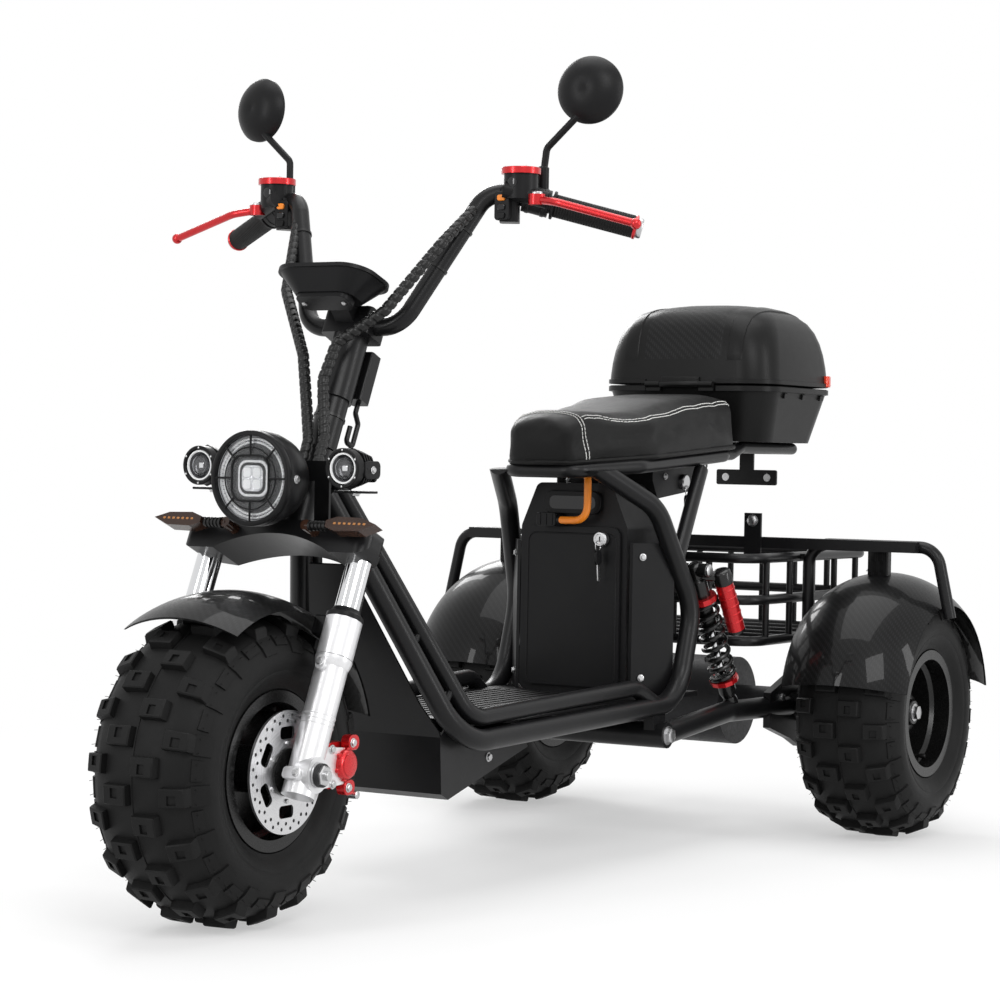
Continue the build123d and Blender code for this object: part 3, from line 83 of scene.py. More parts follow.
def on_fork(x, back, up):
    """Place in the fork's own frame, whose height runs along the steering line."""
    return STEER_FOOT + (Vector((x, 0, 0)) + STEER_BACK * back + STEER_UP * up) / 1000


def on_seat(x, back, up):
    """Place over the saddle's tilted underside, measured from its front edge."""
    level = back * cos(SEAT_TILT) - up * sin(SEAT_TILT)
    height = back * sin(SEAT_TILT) + up * cos(SEAT_TILT)
    return at(x, SEAT_FRONT + level, SEAT_UNDER + height)


def facing(place, direction, level=(1, 0, 0)):
    """Frame at a place whose third axis looks along a direction."""
    third = Vector(direction).normalized()
    first = Vector(level) - third * third.dot(Vector(level))
    if first.length < 1e-4:
        first = third.orthogonal()
    first.normalize()
    second = third.cross(first)
    return Matrix.Translation(place) @ Matrix((first, second, third)).transposed().to_4x4()


def turned_forward(x, back, up):
    """Frame whose third axis looks forward."""
    return facing(at(x, back, up), (0, -1, 0))


def shifted(place, x, y, up):
    """The same frame moved along its own axes, in millimetres."""
    return place @ Matrix.Translation(metres(x, y, up))


def spun(place, turn, reach, up):
    """The same frame turned round its third axis and moved out along its first."""
    return shifted(place @ Matrix.Rotation(turn, 4, "Z"), reach, 0, up)


def circle(place, radius, up, count):
    """Points round a frame's third axis, in millimetres."""
    turns = [2 * pi * index / count for index in range(count)]
    return [place @ metres(radius * cos(turn), radius * sin(turn), up) for turn in turns]


def even(points, step):
    """The same line with points a fixed distance apart."""
    spaced = [points[0]]
    carry = 0.0
    for start, end in zip(points, points[1:]):
        length = (end - start).length
        travel = step - carry
        while travel <= length:
            spaced.append(start.lerp(end, travel / length))
            travel += step
        carry = (carry + length) % step
    spaced.append(points[-1])
    return spaced


def bent_path(corners, bend, step):
    """Points along straight runs whose corners are rounded."""
    points = [corners[0]]
    for before, corner, after in zip(corners, corners[1:], corners[2:]):
        to_before, to_after = before - corner, after - corner
        half_angle = to_before.angle(to_after) / 2
        reach = min(bend / tan(half_angle), 0.49 * to_before.length, 0.49 * to_after.length)
        start = corner + to_before.normalized() * reach
        end = corner + to_after.normalized() * reach
        for index in range(9):
            share = index / 8
            points.append(start.lerp(corner, share).lerp(corner.lerp(end, share), share))
    points.append(corners[-1])
    return even(points, step)


def rounded(width, depth, corner, steps=5):
    """Outline of a rectangle with round corners."""
    corner = min(corner, width / 2 - 1e-6, depth / 2 - 1e-6)
    points = []
    for quarter, (sx, sy) in enumerate(((1, 1), (-1, 1), (-1, -1), (1, -1))):
        for index in range(steps + 1):
            turn = pi / 2 * (quarter + index / steps)
            points.append((
                sx * (width / 2 - corner) + corner * cos(turn),
                sy * (depth / 2 - corner) + corner * sin(turn),
            ))
    return points


def linked(name, data):
    """New object in the scene's collection."""
    made = bpy.data.objects.new(name, data)
    bpy.context.scene.collection.objects.link(made)
    return made


class Shape:
    """Mesh gathered from swept, turned and slab forms, each with its own paint."""

    def __init__(self):
        self.points = []
        self.faces = []
        self.paint = []

    def skin(self, rings, paint=0, closed=False, caps=True, loop=True):
        """Faces between neighbouring rings, or between lines where loop is off."""
        base = len(self.points)
        width = len(rings[0])
        for ring in rings:
            self.points.extend(ring)
        last = len(rings) if closed else len(rings) - 1
        for row in range(last):
            low = base + row * width
            high = base + (row + 1) % len(rings) * width
            for column in range(width if loop else width - 1):
                beside = (column + 1) % width
                self.faces.append((low + column, low + beside, high + beside, high + column))
                self.paint.append(paint)
        if caps and not closed and loop:
            self.faces.append(tuple(range(base, base + width)))
            self.faces.append(tuple(range(base + (len(rings) - 1) * width, base + len(rings) * width)))
            self.paint += [paint, paint]

    def tube(self, path, radius, sides=12, paint=0, closed=False, relief=None):
        """Round bar along a path; relief gives the radius by distance and turn."""
        rings = []
        count = len(path)
        across = None
        travel = 0.0
        for index, point in enumerate(path):
            ahead = path[(index + 1) % count] if closed else path[min(index + 1, count - 1)]
            behind = path[index - 1] if closed else path[max(index - 1, 0)]
            along = (ahead - behind).normalized()
            across = along.orthogonal() if across is None else across - along * along.dot(across)
            across.normalize()
            upward = along.cross(across)
            if index:
                travel += (point - path[index - 1]).length
            ring = []
            for side in range(sides):
                turn = 2 * pi * side / sides
                reach = relief(travel, turn) if relief else radius
                ring.append(point + (across * cos(turn) + upward * sin(turn)) * reach)
            rings.append(ring)
        self.skin(rings, paint, closed)

    def turned(self, place, profile, steps=32, paint=0, caps=True):
        """Form turned round a frame's third axis from radius and height, in millimetres."""
        rings = [circle(place, max(radius, 0.05), height, steps) for radius, height in profile]
        self.skin(rings, paint, caps=caps)

    def band(self, place, inner, outer, foot, crown, steps=32, paint=0):
        """Low ring round a bar, from its radii and its half widths at foot and crown."""
        profile = ((inner, -foot), (outer, -crown), (outer, crown), (inner, foot))
        self.turned(place, profile, steps, paint, caps=False)

    def slab(self, place, size, corner, low, high, paint=0, soft=0.8, steps=5):
        """Round-cornered slab with softened edges, in millimetres."""
        rings = []
        for inset, height in ((soft, low), (0, low + soft), (0, high - soft), (soft, high)):
            outline = rounded(size[0] - 2 * inset, size[1] - 2 * inset, max(corner - inset, 0.2), steps)
            rings.append([place @ metres(x, y, height) for x, y in outline])
        self.skin(rings, paint)

    def bolt(self, place, size=6, washer=True, paint=0):
        """Six-sided bolt head on a washer, standing on a frame's first two axes."""
        if washer:
            self.turned(place, ((size * 1.25, -0.5), (size * 1.25, 0.9), (size * 1.1, 1.2)), 20, paint)
        top = size * 0.75
        head = ((size, 0), (size, top - 0.8), (size * 0.86, top), (size * 0.4, top + 0.1))
        self.turned(place, head, 6, paint)

    def made(self, name, body, paints, slot, replaces=(), sharp=35):
        """Piece of the scene that rides on a body and may stand for a node."""
        mesh = bpy.data.meshes.new(name)
        mesh.from_pydata(self.points, [], self.faces)
        for paint in paints:
            mesh.materials.append(PAINTS[paint])
        mesh.polygons.foreach_set("material_index", self.paint)
        mesh.polygons.foreach_set("use_smooth", [True] * len(self.faces))
        soft = bmesh.new()
        soft.from_mesh(mesh)
        bmesh.ops.recalc_face_normals(soft, faces=soft.faces)
        soft.to_mesh(mesh)
        soft.free()
        mesh.set_sharp_from_angle(angle=radians(sharp))
        mesh.update()
        piece = linked(name, mesh)
        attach(piece, body)
        if replaces:
            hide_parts(*replaces)
        return piece


# Camera and light
CAMERA_PLACE = Vector((2.3155, -3.8741, 0.680))
CAMERA_AZIMUTH = radians(31.043)
CAMERA_ELEVATION = radians(0.927)
CAMERA_ROLL = radians(1.044)
SENSOR = 36.0
LENS = 96.785
ROOM_LIGHT = 0.42
# Soft lights: place, target, size in metres, watts
LIGHTS = {
    "key": ((2.6, -2.6, 3.2), (0, 0, 0.5), (1.8, 1.8), 62),
    "left_strip": ((3.2, 0.4, 1.4), (0.2, 0.1, 0.5), (0.5, 2.6), 34),
    "front_strip": ((-0.9, -3.6, 1.7), (0, -0.6, 0.5), (0.6, 2.2), 34),
    "top": ((0, 0.3, 3.4), (0, 0.1, 0.4), (2.2, 2.8), 46),
    "rear_rim": ((-2.4, 2.6, 2.4), (0, 0.3, 0.6), (1.2, 1.8), 60),
}


def place_camera():
    data = bpy.data.cameras.new("camera")
    data.sensor_width = SENSOR
    data.lens = LENS
    camera = linked("camera", data)
    back = Vector((
        sin(CAMERA_AZIMUTH) * cos(CAMERA_ELEVATION),
        -cos(CAMERA_AZIMUTH) * cos(CAMERA_ELEVATION),
        sin(CAMERA_ELEVATION),
    ))
    level = Vector((cos(CAMERA_AZIMUTH), sin(CAMERA_AZIMUTH), 0))
    upright = back.cross(level)
    right = cos(CAMERA_ROLL) * level + sin(CAMERA_ROLL) * upright
    up = -sin(CAMERA_ROLL) * level + cos(CAMERA_ROLL) * upright
    camera.matrix_world = Matrix.Translation(CAMERA_PLACE) @ Matrix((right, up, back)).transposed().to_4x4()
    bpy.context.scene.camera = camera


def soft_light(name, place, target, size, watts):
    data = bpy.data.lights.new(name, "AREA")
    data.shape = "RECTANGLE"
    data.size, data.size_y = size
    data.energy = watts
    lamp = linked(name, data)
    lamp.location = place
    lamp.rotation_euler = (Vector(target) - Vector(place)).to_track_quat("-Z", "Y").to_euler()


def shown_rays(tree):
    """One for rays that show the background to the camera, a mirror or a lens."""
    path = tree.nodes.new("ShaderNodeLightPath")
    shown = path.outputs["Is Camera Ray"]
    for kind in ("Is Glossy Ray", "Is Transmission Ray"):
        either = tree.nodes.new("ShaderNodeMath")
        either.operation = "MAXIMUM"
        tree.links.new(shown, either.inputs[0])
        tree.links.new(path.outputs[kind], either.inputs[1])
        shown = either.outputs[0]
    return shown


def studio():
    scene = bpy.context.scene
    scene.view_settings.view_transform = "Standard"
    world = bpy.data.worlds.new("studio")
    world.use_nodes = True
    tree = world.node_tree
    background = tree.nodes["Background"]
    background.inputs["Color"].default_value = (1, 1, 1, 1)
    strength = tree.nodes.new("ShaderNodeMapRange")
    strength.inputs["To Min"].default_value = ROOM_LIGHT
    strength.inputs["To Max"].default_value = 1.0
    tree.links.new(shown_rays(tree), strength.inputs["Value"])
    tree.links.new(strength.outputs["Result"], background.inputs["Strength"])
    scene.world = world
    for name, light in LIGHTS.items():
        soft_light(name, *light)


# Materials
SPECULAR = "Specular IOR Level"
METAL = "Metallic"
PAINTS = {}


class Paint:
    """Material whose shader is varied by nodes in the object's own coordinates."""

    def __init__(self, name, values):
        self.material = bpy.data.materials.new(name)
        self.material.use_nodes = True
        self.tree = self.material.node_tree
        self.shader = self.tree.nodes["Principled BSDF"]
        self.place = self.node("TexCoord").outputs["Object"]
        for key, value in values.items():
            self.shader.inputs[key].default_value = value
        PAINTS[name] = self.material

    def node(self, kind, inputs=None, **settings):
        made = self.tree.nodes.new("ShaderNode" + kind)
        for key, value in settings.items():
            setattr(made, key, value)
        for key, value in (inputs or {}).items():
            self.feed(made, key, value)
        return made

    def feed(self, node, key, value):
        if isinstance(value, bpy.types.NodeSocket):
            self.tree.links.new(value, node.inputs[key])
        else:
            node.inputs[key].default_value = value

    def noise(self, scale, detail=3.0):
        return self.node("TexNoise", {"Vector": self.place, "Scale": scale, "Detail": detail}).outputs[0]

    def cells(self, scale):
        texture = self.node("TexVoronoi", {"Vector": self.place, "Scale": scale}, feature="DISTANCE_TO_EDGE")
        return texture.outputs["Distance"]

    def maths(self, operation, first, second=0.0):
        return self.node("Math", {0: first, 1: second}, operation=operation).outputs[0]

    def times(self, first, second):
        return self.maths("MULTIPLY", first, second)

    def wave(self, value, scale):
        """Sine of a scaled value."""
        return self.maths("SINE", self.times(value, scale))

    def between(self, value, low, high, start=0.25, end=0.75):
        ends = {"Value": value, "From Min": start, "From Max": end, "To Min": low, "To Max": high}
        return self.node("MapRange", ends).outputs[0]

    def colour(self, share, dark, light):
        mixed = self.node("Mix", {0: share, 6: (*dark, 1), 7: (*light, 1)}, data_type="RGBA")
        self.feed(self.shader, "Base Color", mixed.outputs[2])

    def rough(self, share, low, high, start=0.25, end=0.75):
        self.feed(self.shader, "Roughness", self.between(share, low, high, start, end))

    def bump(self, height, strength, distance):
        raised = self.node("Bump", {"Height": height, "Strength": strength, "Distance": distance})
        self.feed(self.shader, "Normal", raised.outputs[0])

    def surface(self, share, first, second):
        """Mix of two shaders at the material's output."""
        mixed = self.node("MixShader", {0: share, 1: first, 2: second})
        self.feed(self.tree.nodes["Material Output"], "Surface", mixed.outputs[0])

    def axes(self):
        return self.node("SeparateXYZ", {0: self.place}).outputs

    def from_axle(self, axle_back):
        """Distances behind and over a wheel's axle, in metres."""
        y, z = self.axes()[1:3]
        behind = self.maths("SUBTRACT", y, (FRONT_AXLE + axle_back) / 1000)
        return behind, self.maths("SUBTRACT", z, TYRE_RADIUS / 1000)


def grey(value):
    return value, value, value


# Finishes: dark and light colour, gloss range, grain, bump, the shader's own values and scale of the clouds
FINISHES = {
    "frame_black": ((0.005, 0.005, 0.0055), (0.009, 0.009, 0.0095), (0.26, 0.4), 900, 0.06, {SPECULAR: 0.22}),
    "tyre_black": (grey(0.004), grey(0.008), (0.46, 0.66), 900, 0.2, {SPECULAR: 0.15}),
    "rim_black": (grey(0.004), grey(0.007), (0.2, 0.32), 700, 0.03, {SPECULAR: 0.3}),
    "axle_metal": ((0.012, 0.012, 0.013), (0.028, 0.028, 0.03), (0.42, 0.62), 260, 0.35, {METAL: 0.5}),
    "fork_silver": ((0.66, 0.66, 0.67), (0.78, 0.78, 0.79), (0.26, 0.38), 1100, 0.08, {METAL: 0.6}),
    "chrome": ((0.62, 0.63, 0.64), (0.74, 0.74, 0.75), (0.05, 0.1), 300, 0.01, {METAL: 1.0}),
    "grip_rubber": (grey(0.005), grey(0.009), (0.5, 0.64), 1200, 0.1, {SPECULAR: 0.15}),
    "control_black": ((0.005, 0.005, 0.0055), (0.009, 0.009, 0.0095), (0.32, 0.48), 1300, 0.12,
                      {SPECULAR: 0.15}),
    "red_metal": ((0.46, 0.006, 0.01), (0.6, 0.012, 0.016), (0.22, 0.34), 900, 0.05,
                  {METAL: 0.6, "Coat Weight": 0.3}),
    "mirror_face": ((0.8, 0.8, 0.82), (0.86, 0.86, 0.87), (0.01, 0.03), 200, 0.0, {METAL: 1.0}),
    "lamp_clear": ((0.8, 0.82, 0.84), (0.95, 0.95, 0.96), (0.02, 0.05), 300, 0.01),
    "amber_smoke": ((0.018, 0.009, 0.006), (0.05, 0.022, 0.013), (0.1, 0.18), 500, 0.03,
                    {SPECULAR: 0.35}, 40),
    "shock_black": (grey(0.004), grey(0.008), (0.16, 0.28), 800, 0.04, {SPECULAR: 0.4}),
    "case_black": (grey(0.005), grey(0.009), (0.3, 0.44), 1100, 0.12, {SPECULAR: 0.15}),
    "loom_black": (grey(0.005), grey(0.009), (0.26, 0.4), 900, 0.08, {SPECULAR: 0.3}),
    "lead_orange": ((0.78, 0.2, 0.008), (0.9, 0.27, 0.015), (0.36, 0.5), 700, 0.06),
    "reflector_red": ((0.6, 0.03, 0.01), (0.85, 0.07, 0.025), (0.12, 0.2), 300, 0.05, {SPECULAR: 0.4}),
    "bolt_steel": (grey(0.42), (0.58, 0.58, 0.59), (0.24, 0.4), 600, 0.1, {METAL: 1.0}),
    "thread_white": ((0.62, 0.62, 0.6), (0.8, 0.8, 0.78), (0.6, 0.8), 2500, 0.4, {"Sheen Weight": 0.3}),
    "lamp_white": ((0.8, 0.81, 0.82), grey(0.92), (0.3, 0.4), 500, 0.08),
    "lamp_bowl": ((0.5, 0.51, 0.53), (0.78, 0.78, 0.8), (0.12, 0.22), 200, 0.02, {METAL: 0.25}),
    "lamp_dark": ((0.02, 0.02, 0.022), (0.05, 0.05, 0.055), (0.08, 0.16), 200, 0.02, {METAL: 0.6}),
    "screen_glass": ((0.003, 0.003, 0.004), (0.006, 0.006, 0.007), (0.05, 0.1), 300, 0.01, {SPECULAR: 0.5}),
    "led_amber": ((0.34, 0.13, 0.03), (0.5, 0.22, 0.06), (0.2, 0.3), 500, 0.05),
}
# Shares of left, back and down along the left grip, by which its ribs are counted
GRIP_RIBS = (0.856, 0.455, 0.243)


def varied(name, dark, light, shine, grain, bump, values=None, cloud=14):
    """Plain finish with clouded colour, uneven gloss and fine grain."""
    paint = Paint(name, values or {})
    paint.colour(paint.noise(cloud, 4), dark, light)
    fine = paint.noise(grain, 2)
    paint.rough(paint.maths("ADD", fine, paint.times(paint.noise(cloud * 3), 0.4)), *shine, 0.4, 1.0)
    paint.bump(fine, bump, 0.0004)
    return paint


def woven(name, axle_back, cell, dark, light, values):
    """Twill weave, wrapped round an axle or lying flat across the case; its checker pattern carries painted
    sheen, each strand lighter at its crown and the strands lying over lighter than those under.
    """
    paint = Paint(name, values)
    x, y, z = paint.axes()[:3]
    if axle_back is None:
        first = paint.maths("DIVIDE", paint.maths("ADD", z, y), cell)
    else:
        first = paint.times(paint.maths("ARCTAN2", *paint.from_axle(axle_back)), 0.25 / cell)
    second = paint.maths("DIVIDE", x, cell)
    sum_cells = paint.maths("ADD", paint.maths("FLOOR", first), paint.maths("FLOOR", second))
    over_under = paint.maths("LESS_THAN", paint.maths("FLOORED_MODULO", sum_cells, 4.0), 2.0)
    crown_first = paint.wave(paint.maths("FRACT", first), pi)
    crown_second = paint.wave(paint.maths("FRACT", second), pi)
    crown = paint.node("Mix", {0: over_under, 2: crown_first, 3: crown_second}).outputs[0]
    # Painted sheen: the colour is lightest on each strand's crown, and the under strands are held to about a
    # third of that brightness.
    paint.colour(paint.times(crown, paint.between(over_under, 0.35, 1.0, 0, 1)), dark, light)
    paint.rough(paint.noise(260), 0.34, 0.46)
    paint.bump(crown, 0.12, 0.0002)


def brushed_disc():
    """Steel with fine rings round the front axle."""
    disc = Paint("disc_steel", {METAL: 1.0})
    behind, over = disc.from_axle(0)
    radius = disc.maths("SQRT", disc.maths("ADD", disc.times(behind, behind), disc.times(over, over)))
    inputs = {"W": disc.times(radius, 1600.0), "Scale": 1.0, "Detail": 2.0}
    rings = disc.node("TexNoise", inputs, noise_dimensions="1D").outputs[0]
    disc.colour(rings, (0.5, 0.5, 0.51), (0.7, 0.7, 0.71))
    disc.rough(rings, 0.22, 0.4)
    disc.bump(rings, 0.12, 0.0002)


def seat_leather():
    seat = Paint("seat_cover", {"Sheen Weight": 0.02, SPECULAR: 0.14})
    seat.colour(seat.noise(9, 5), grey(0.0035), grey(0.0065))
    grain = seat.between(seat.cells(420), 0.0, 1.0, 0.0, 0.25)
    seat.rough(seat.maths("ADD", grain, seat.noise(60)), 0.36, 0.52, 0.4, 1.5)
    seat.bump(seat.maths("ADD", grain, seat.noise(1800, 2)), 0.28, 0.0005)


def clear_lens(paint):
    """Clear cover that lets light through to the lamp and mirrors the room at its edges."""
    edge = paint.node("Fresnel", {"IOR": 1.4}).outputs[0]
    paint.surface(edge, paint.node("BsdfTransparent").outputs[0], paint.shader.outputs[0])


def make_paints():
    paints = {name: varied(name, *finish) for name, finish in FINISHES.items()}
    brushed_disc()
    seat_leather()
    # The mudguards and the case take the woven finish, whose weave pattern carries painted sheen on its
    # strands.
    for name, axle_back in (("guard_front", 0), ("guard_gloss", WHEELBASE)):
        woven(name, axle_back, 0.0034, grey(0.002), (0.01, 0.01, 0.0105),
              {SPECULAR: 0.08, "Coat Weight": 0.24, "Coat Roughness": 0.04})
    woven("case_weave", None, 0.0042, grey(0.004), (0.017, 0.017, 0.0175), {SPECULAR: 0.15})
    clear_lens(paints["lamp_clear"])
    tyre_black = paints["tyre_black"]
    tyre_black.bump(tyre_black.maths("ADD", tyre_black.noise(1400, 2), tyre_black.noise(90, 4)), 0.22, 0.0006)
    grip = paints["grip_rubber"]
    x, y, z = grip.axes()[:3]
    across, back, down = (grip.times(value, share) for value, share in
                          zip((grip.maths("ABSOLUTE", x), y, z), GRIP_RIBS))
    along = grip.maths("ADD", across, grip.maths("SUBTRACT", back, down))
    grip.bump(grip.wave(along, 1500.0), 0.7, 0.0008)
    amber = paints["amber_smoke"]
    amber.bump(amber.wave(amber.axes()[0], 2400.0), 0.2, 0.0003)
    for name, scale, depth in (("reflector_red", 260, 0.001), ("lamp_bowl", 240, 0.002)):
        paints[name].bump(paints[name].cells(scale), 0.5, depth)


def floor():
    """Pale floor that fades to white and keeps the shadow under the machine."""
    bpy.ops.mesh.primitive_plane_add(size=60, location=(0, 0, 0))
    plane = bpy.context.object
    plane.name = "floor"
    pale = Paint("pale_floor", {"Base Color": (0.93, 0.93, 0.93, 1), "Roughness": 0.7, SPECULAR: 0.1})
    place = pale.node("NewGeometry").outputs["Position"]
    distance = pale.node("VectorMath", {0: place}, operation="LENGTH").outputs["Value"]
    ends = {"Value": distance, "From Min": 0.7, "From Max": 2.3, "To Min": 0.45}
    fade = pale.node("MapRange", ends, interpolation_type="SMOOTHSTEP").outputs["Result"]
    white = pale.node("Emission", {"Strength": 1.0}).outputs[0]
    pale.surface(pale.times(fade, shown_rays(pale.tree)), pale.shader.outputs[0], white)
    plane.data.materials.append(pale.material)


def dress_nodes():
    """Each node takes the paint of its slot, the front mudguard one woven round the front axle."""
    for entry in RECORD["subparts"]:
        node = NODES[entry["node"]]
        node.data.materials.clear()
        slot = "guard_front" if entry["node"] == "front_guard" else entry["material_slot"]
        node.data.materials.append(PAINTS[slot])


# Tyres
LUG_PITCHES = 17
LUG_HALF = 14
LUG_BEVEL = 1.8
LUG_ROOT = 24
DIMPLE = 3.2
# Half section of the carcass from its middle to the bead: distance from the middle, radius
CARCASS = (
    (0, 217), (1.1, 216.8), (1.6, 215.6), (24, 215), (46, 212.4), (68, 204.5), (82, 194.5), (92, 182),
    (98.5, 169), (100.8, 157), (99.5, 147), (97.6, 143.5), (98, 141), (95.5, 135), (90, 125.5), (85.5, 120),
    (84.8, 117.5), (81.5, 116), (80.4, 112), (80.2, 104),
)
# Rows of lugs: inner edge, outer edge, radius of the tip at each, first pitch of the left side
LUG_ROWS = ((4, 42, 227.6, 226.8, 0), (50, 84, 222.6, 208.6, 1))
# Steps on the shoulder: inner and outer place along the section, half angle in degrees
SHOULDER_STEPS = ((6.05, 8.0, 4.3), (6.05, 7.2, 4.3))


def carcass_at(place):
    """Point of the section by its number, between the listed points."""
    index = min(int(place), len(CARCASS) - 2)
    share = place - index
    return [a + (b - a) * share for a, b in zip(CARCASS[index], CARCASS[index + 1])]


def pitch_turn(half_pitches):
    """Angle round the wheel, counted from the top in half pitches of the lugs."""
    return radians(90 + 180 / LUG_PITCHES * half_pitches)


def tread_lugs(shape, spot):
    """Staggered rows of tapered lugs, each with a dimple in its top."""
    ranks = (0, 1, 2, 2, 3, 3, 2, 2, 1, 0)
    lengths = (-LUG_HALF - 3, -LUG_HALF, LUG_BEVEL - LUG_HALF, -4, -3.6, LUG_HALF - 4.4, LUG_HALF - 4,
               LUG_HALF - LUG_BEVEL, LUG_HALF, LUG_HALF + 3)
    for inner, outer, inner_tip, outer_tip, first in LUG_ROWS:
        middle = (inner + outer) / 2
        stops = (inner - 2.5, inner, inner + LUG_BEVEL, middle - 6, middle - 5.6, middle + 5.6, middle + 6,
                 outer - LUG_BEVEL, outer, outer + 2.5)
        for hand in (1, -1):
            offset_pitch = first if hand > 0 else 1 - first
            for pitch in range(LUG_PITCHES):
                centre = pitch_turn(2 * pitch + offset_pitch)
                grid = []
                for across, across_rank in zip(stops, ranks):
                    tip = inner_tip + (outer_tip - inner_tip) * (across - inner) / (outer - inner)
                    radii = (tip - LUG_ROOT, tip - LUG_BEVEL, tip, tip - DIMPLE)
                    grid.append([
                        spot(hand * across, radii[min(across_rank, rank)],
                             centre + hand * length / TYRE_RADIUS)
                        for length, rank in zip(lengths, ranks)
                    ])
                shape.skin(grid, loop=False)


def shoulder_steps(shape, spot):
    """Raised steps on the shoulders with vent hairs on them."""
    for hand in (1, -1):
        for step in range(2 * LUG_PITCHES):
            low, high, half = SHOULDER_STEPS[step % 2]
            centre = pitch_turn(step + (1 if hand > 0 else 0))
            rows = ((low, -1), (low + 0.06, 2.4), ((low + high) / 2, 3), (high - 0.06, 2.4), (high, -1))
            grid = []
            for along, lift in rows:
                offset, radius = carcass_at(along)
                before, after = carcass_at(along - 0.05), carcass_at(along + 0.05)
                normal = Vector((before[1] - after[1], after[0] - before[0])).normalized()
                line = []
                for turn, sink in ((-half - 0.3, -4), (-half, 0), (half, 0), (half + 0.3, -4)):
                    rise = lift + sink if lift > 0 else lift
                    line.append(spot(hand * (offset + normal.x * rise), radius + normal.y * rise,
                                     centre + radians(turn)))
                grid.append(line)
            shape.skin(grid, loop=False)
            offset, radius = carcass_at(low + 0.5)
            for turn in (-half * 0.7, half * 0.7):
                angle = centre + radians(turn)
                root = spot(hand * offset, radius, angle)
                tip = spot(hand * (offset + 6), radius + 5, angle + 0.01)
                shape.tube([root, root.lerp(tip, 0.5), tip], 0.0005, 4)


def tyre(name, node, body, x, back):
    shape = Shape()
    middle = at(x, back, TYRE_RADIUS)

    def spot(offset, radius, turn):
        return middle + metres(offset, radius * cos(turn), radius * sin(turn))

    section = [(-offset, radius) for offset, radius in reversed(CARCASS[1:])] + list(CARCASS)
    steps = 8 * LUG_PITCHES
    turns = [2 * pi * step / steps for step in range(steps)]
    shape.skin([[spot(offset, radius, turn) for turn in turns] for offset, radius in section], caps=False)
    tread_lugs(shape, spot)
    shoulder_steps(shape, spot)
    shape.made(name, body, ["tyre_black"], "tyre_black", (node,), 32)


# Wheels, fork and brake
VALVE = ((5, 6), (3.6, 8), (3.6, 26), (4.4, 27), (4.4, 34), (3.4, 36))
HUB_CAP = ((33, -1), (33, 1.5), (30, 3), (24, 3.4), (23, 9), (21, 11), (3, 11.5))
LEG_SEAL = ((27.5, -4), (27.8, -1), (27.2, 3), (23, 6), (20.6, 10), (20.2, 12), (19.3, 12.4))
LEG_COLLAR = ((24.3, -12), (26.4, -5), (27.4, 0), (27.4, 3))


def bolt_ring(shape, face, count, reach, up, size, washer=True):
    """Bolts spread round a frame's third axis, the first half a pitch from its first axis."""
    for index in range(count):
        turn = 2 * pi * (index + 0.5) / count
        shape.bolt(shifted(face, reach * cos(turn), reach * sin(turn), up), size, washer)


def wheel_details():
    face = facing(at(0, 0, TYRE_RADIUS), (1, 0, 0), (0, 1, 0))
    front = Shape()
    bolt_ring(front, face, 6, 41, 106, 3.6, washer=False)
    front.turned(shifted(face, 30, 85, 26), ((5, 0), *VALVE), 14, 1)
    front.made("front_hub_bolts", "front_wheel", ["bolt_steel", "loom_black"], "disc_steel")
    for hand, body in ((1, "rear_wheel_left"), (-1, "rear_wheel_right")):
        face = facing(at(hand * REAR_X, WHEELBASE, TYRE_RADIUS), (hand, 0, 0), (0, 1, 0))
        hub = Shape()
        bolt_ring(hub, face, 4, 60, 14, 8.5)
        hub.turned(shifted(face, 0, 0, 46), HUB_CAP, 36, 1)
        hub.bolt(shifted(face, 0, 0, 57.5), 13)
        hub.turned(shifted(face, 35, -82, 30), ((5, -16), *VALVE), 14, 2)
        hub.made(body + "_nuts", body, ["bolt_steel", "rim_black", "loom_black"], "rim_black")


def fork_details():
    legs = Shape()
    for hand in (1, -1):
        top = facing(on_fork(hand * LEG_X, -17, 236), STEER_UP)
        legs.turned(top, LEG_SEAL, 40, 0)
        legs.turned(shifted(top, 0, 0, -66), LEG_COLLAR, 40, 1, caps=False)
        for drop in (150, 157, 164):
            legs.band(shifted(top, 0, 0, -drop), 24, 24.7, 1.6, 0.8, 40, 1)
        tab = facing(on_fork(hand * LEG_X, -41, 158), -STEER_BACK)
        legs.slab(tab, (16, 22), 7, -6, 7, 1)
        legs.bolt(shifted(tab, 0, 0, 7), 5, paint=2)
        nut = facing(at(hand * 169, 0, TYRE_RADIUS), (hand, 0, 0))
        legs.turned(nut, ((17, -9.8), (18.2, -9), (18.2, -6.4), (15, -6)), 30, 2)
        legs.turned(nut, ((15.5, -6), (15.5, 3.4), (13.4, 5), (6, 5.2)), 6, 2)
        legs.turned(nut, ((7, 5), (7, 10), (6, 11), (1, 11)), 20, 2)
        pinch = facing(on_fork(hand * LEG_X, -44, -8), -STEER_BACK)
        legs.slab(pinch, (30, 18), 6, -8, 4, 1)
        legs.bolt(shifted(pinch, 8, 0, 4), 4.5, paint=2)
    legs.made("fork_leg_fittings", "steering", ["control_black", "fork_silver", "bolt_steel"], "fork_silver")


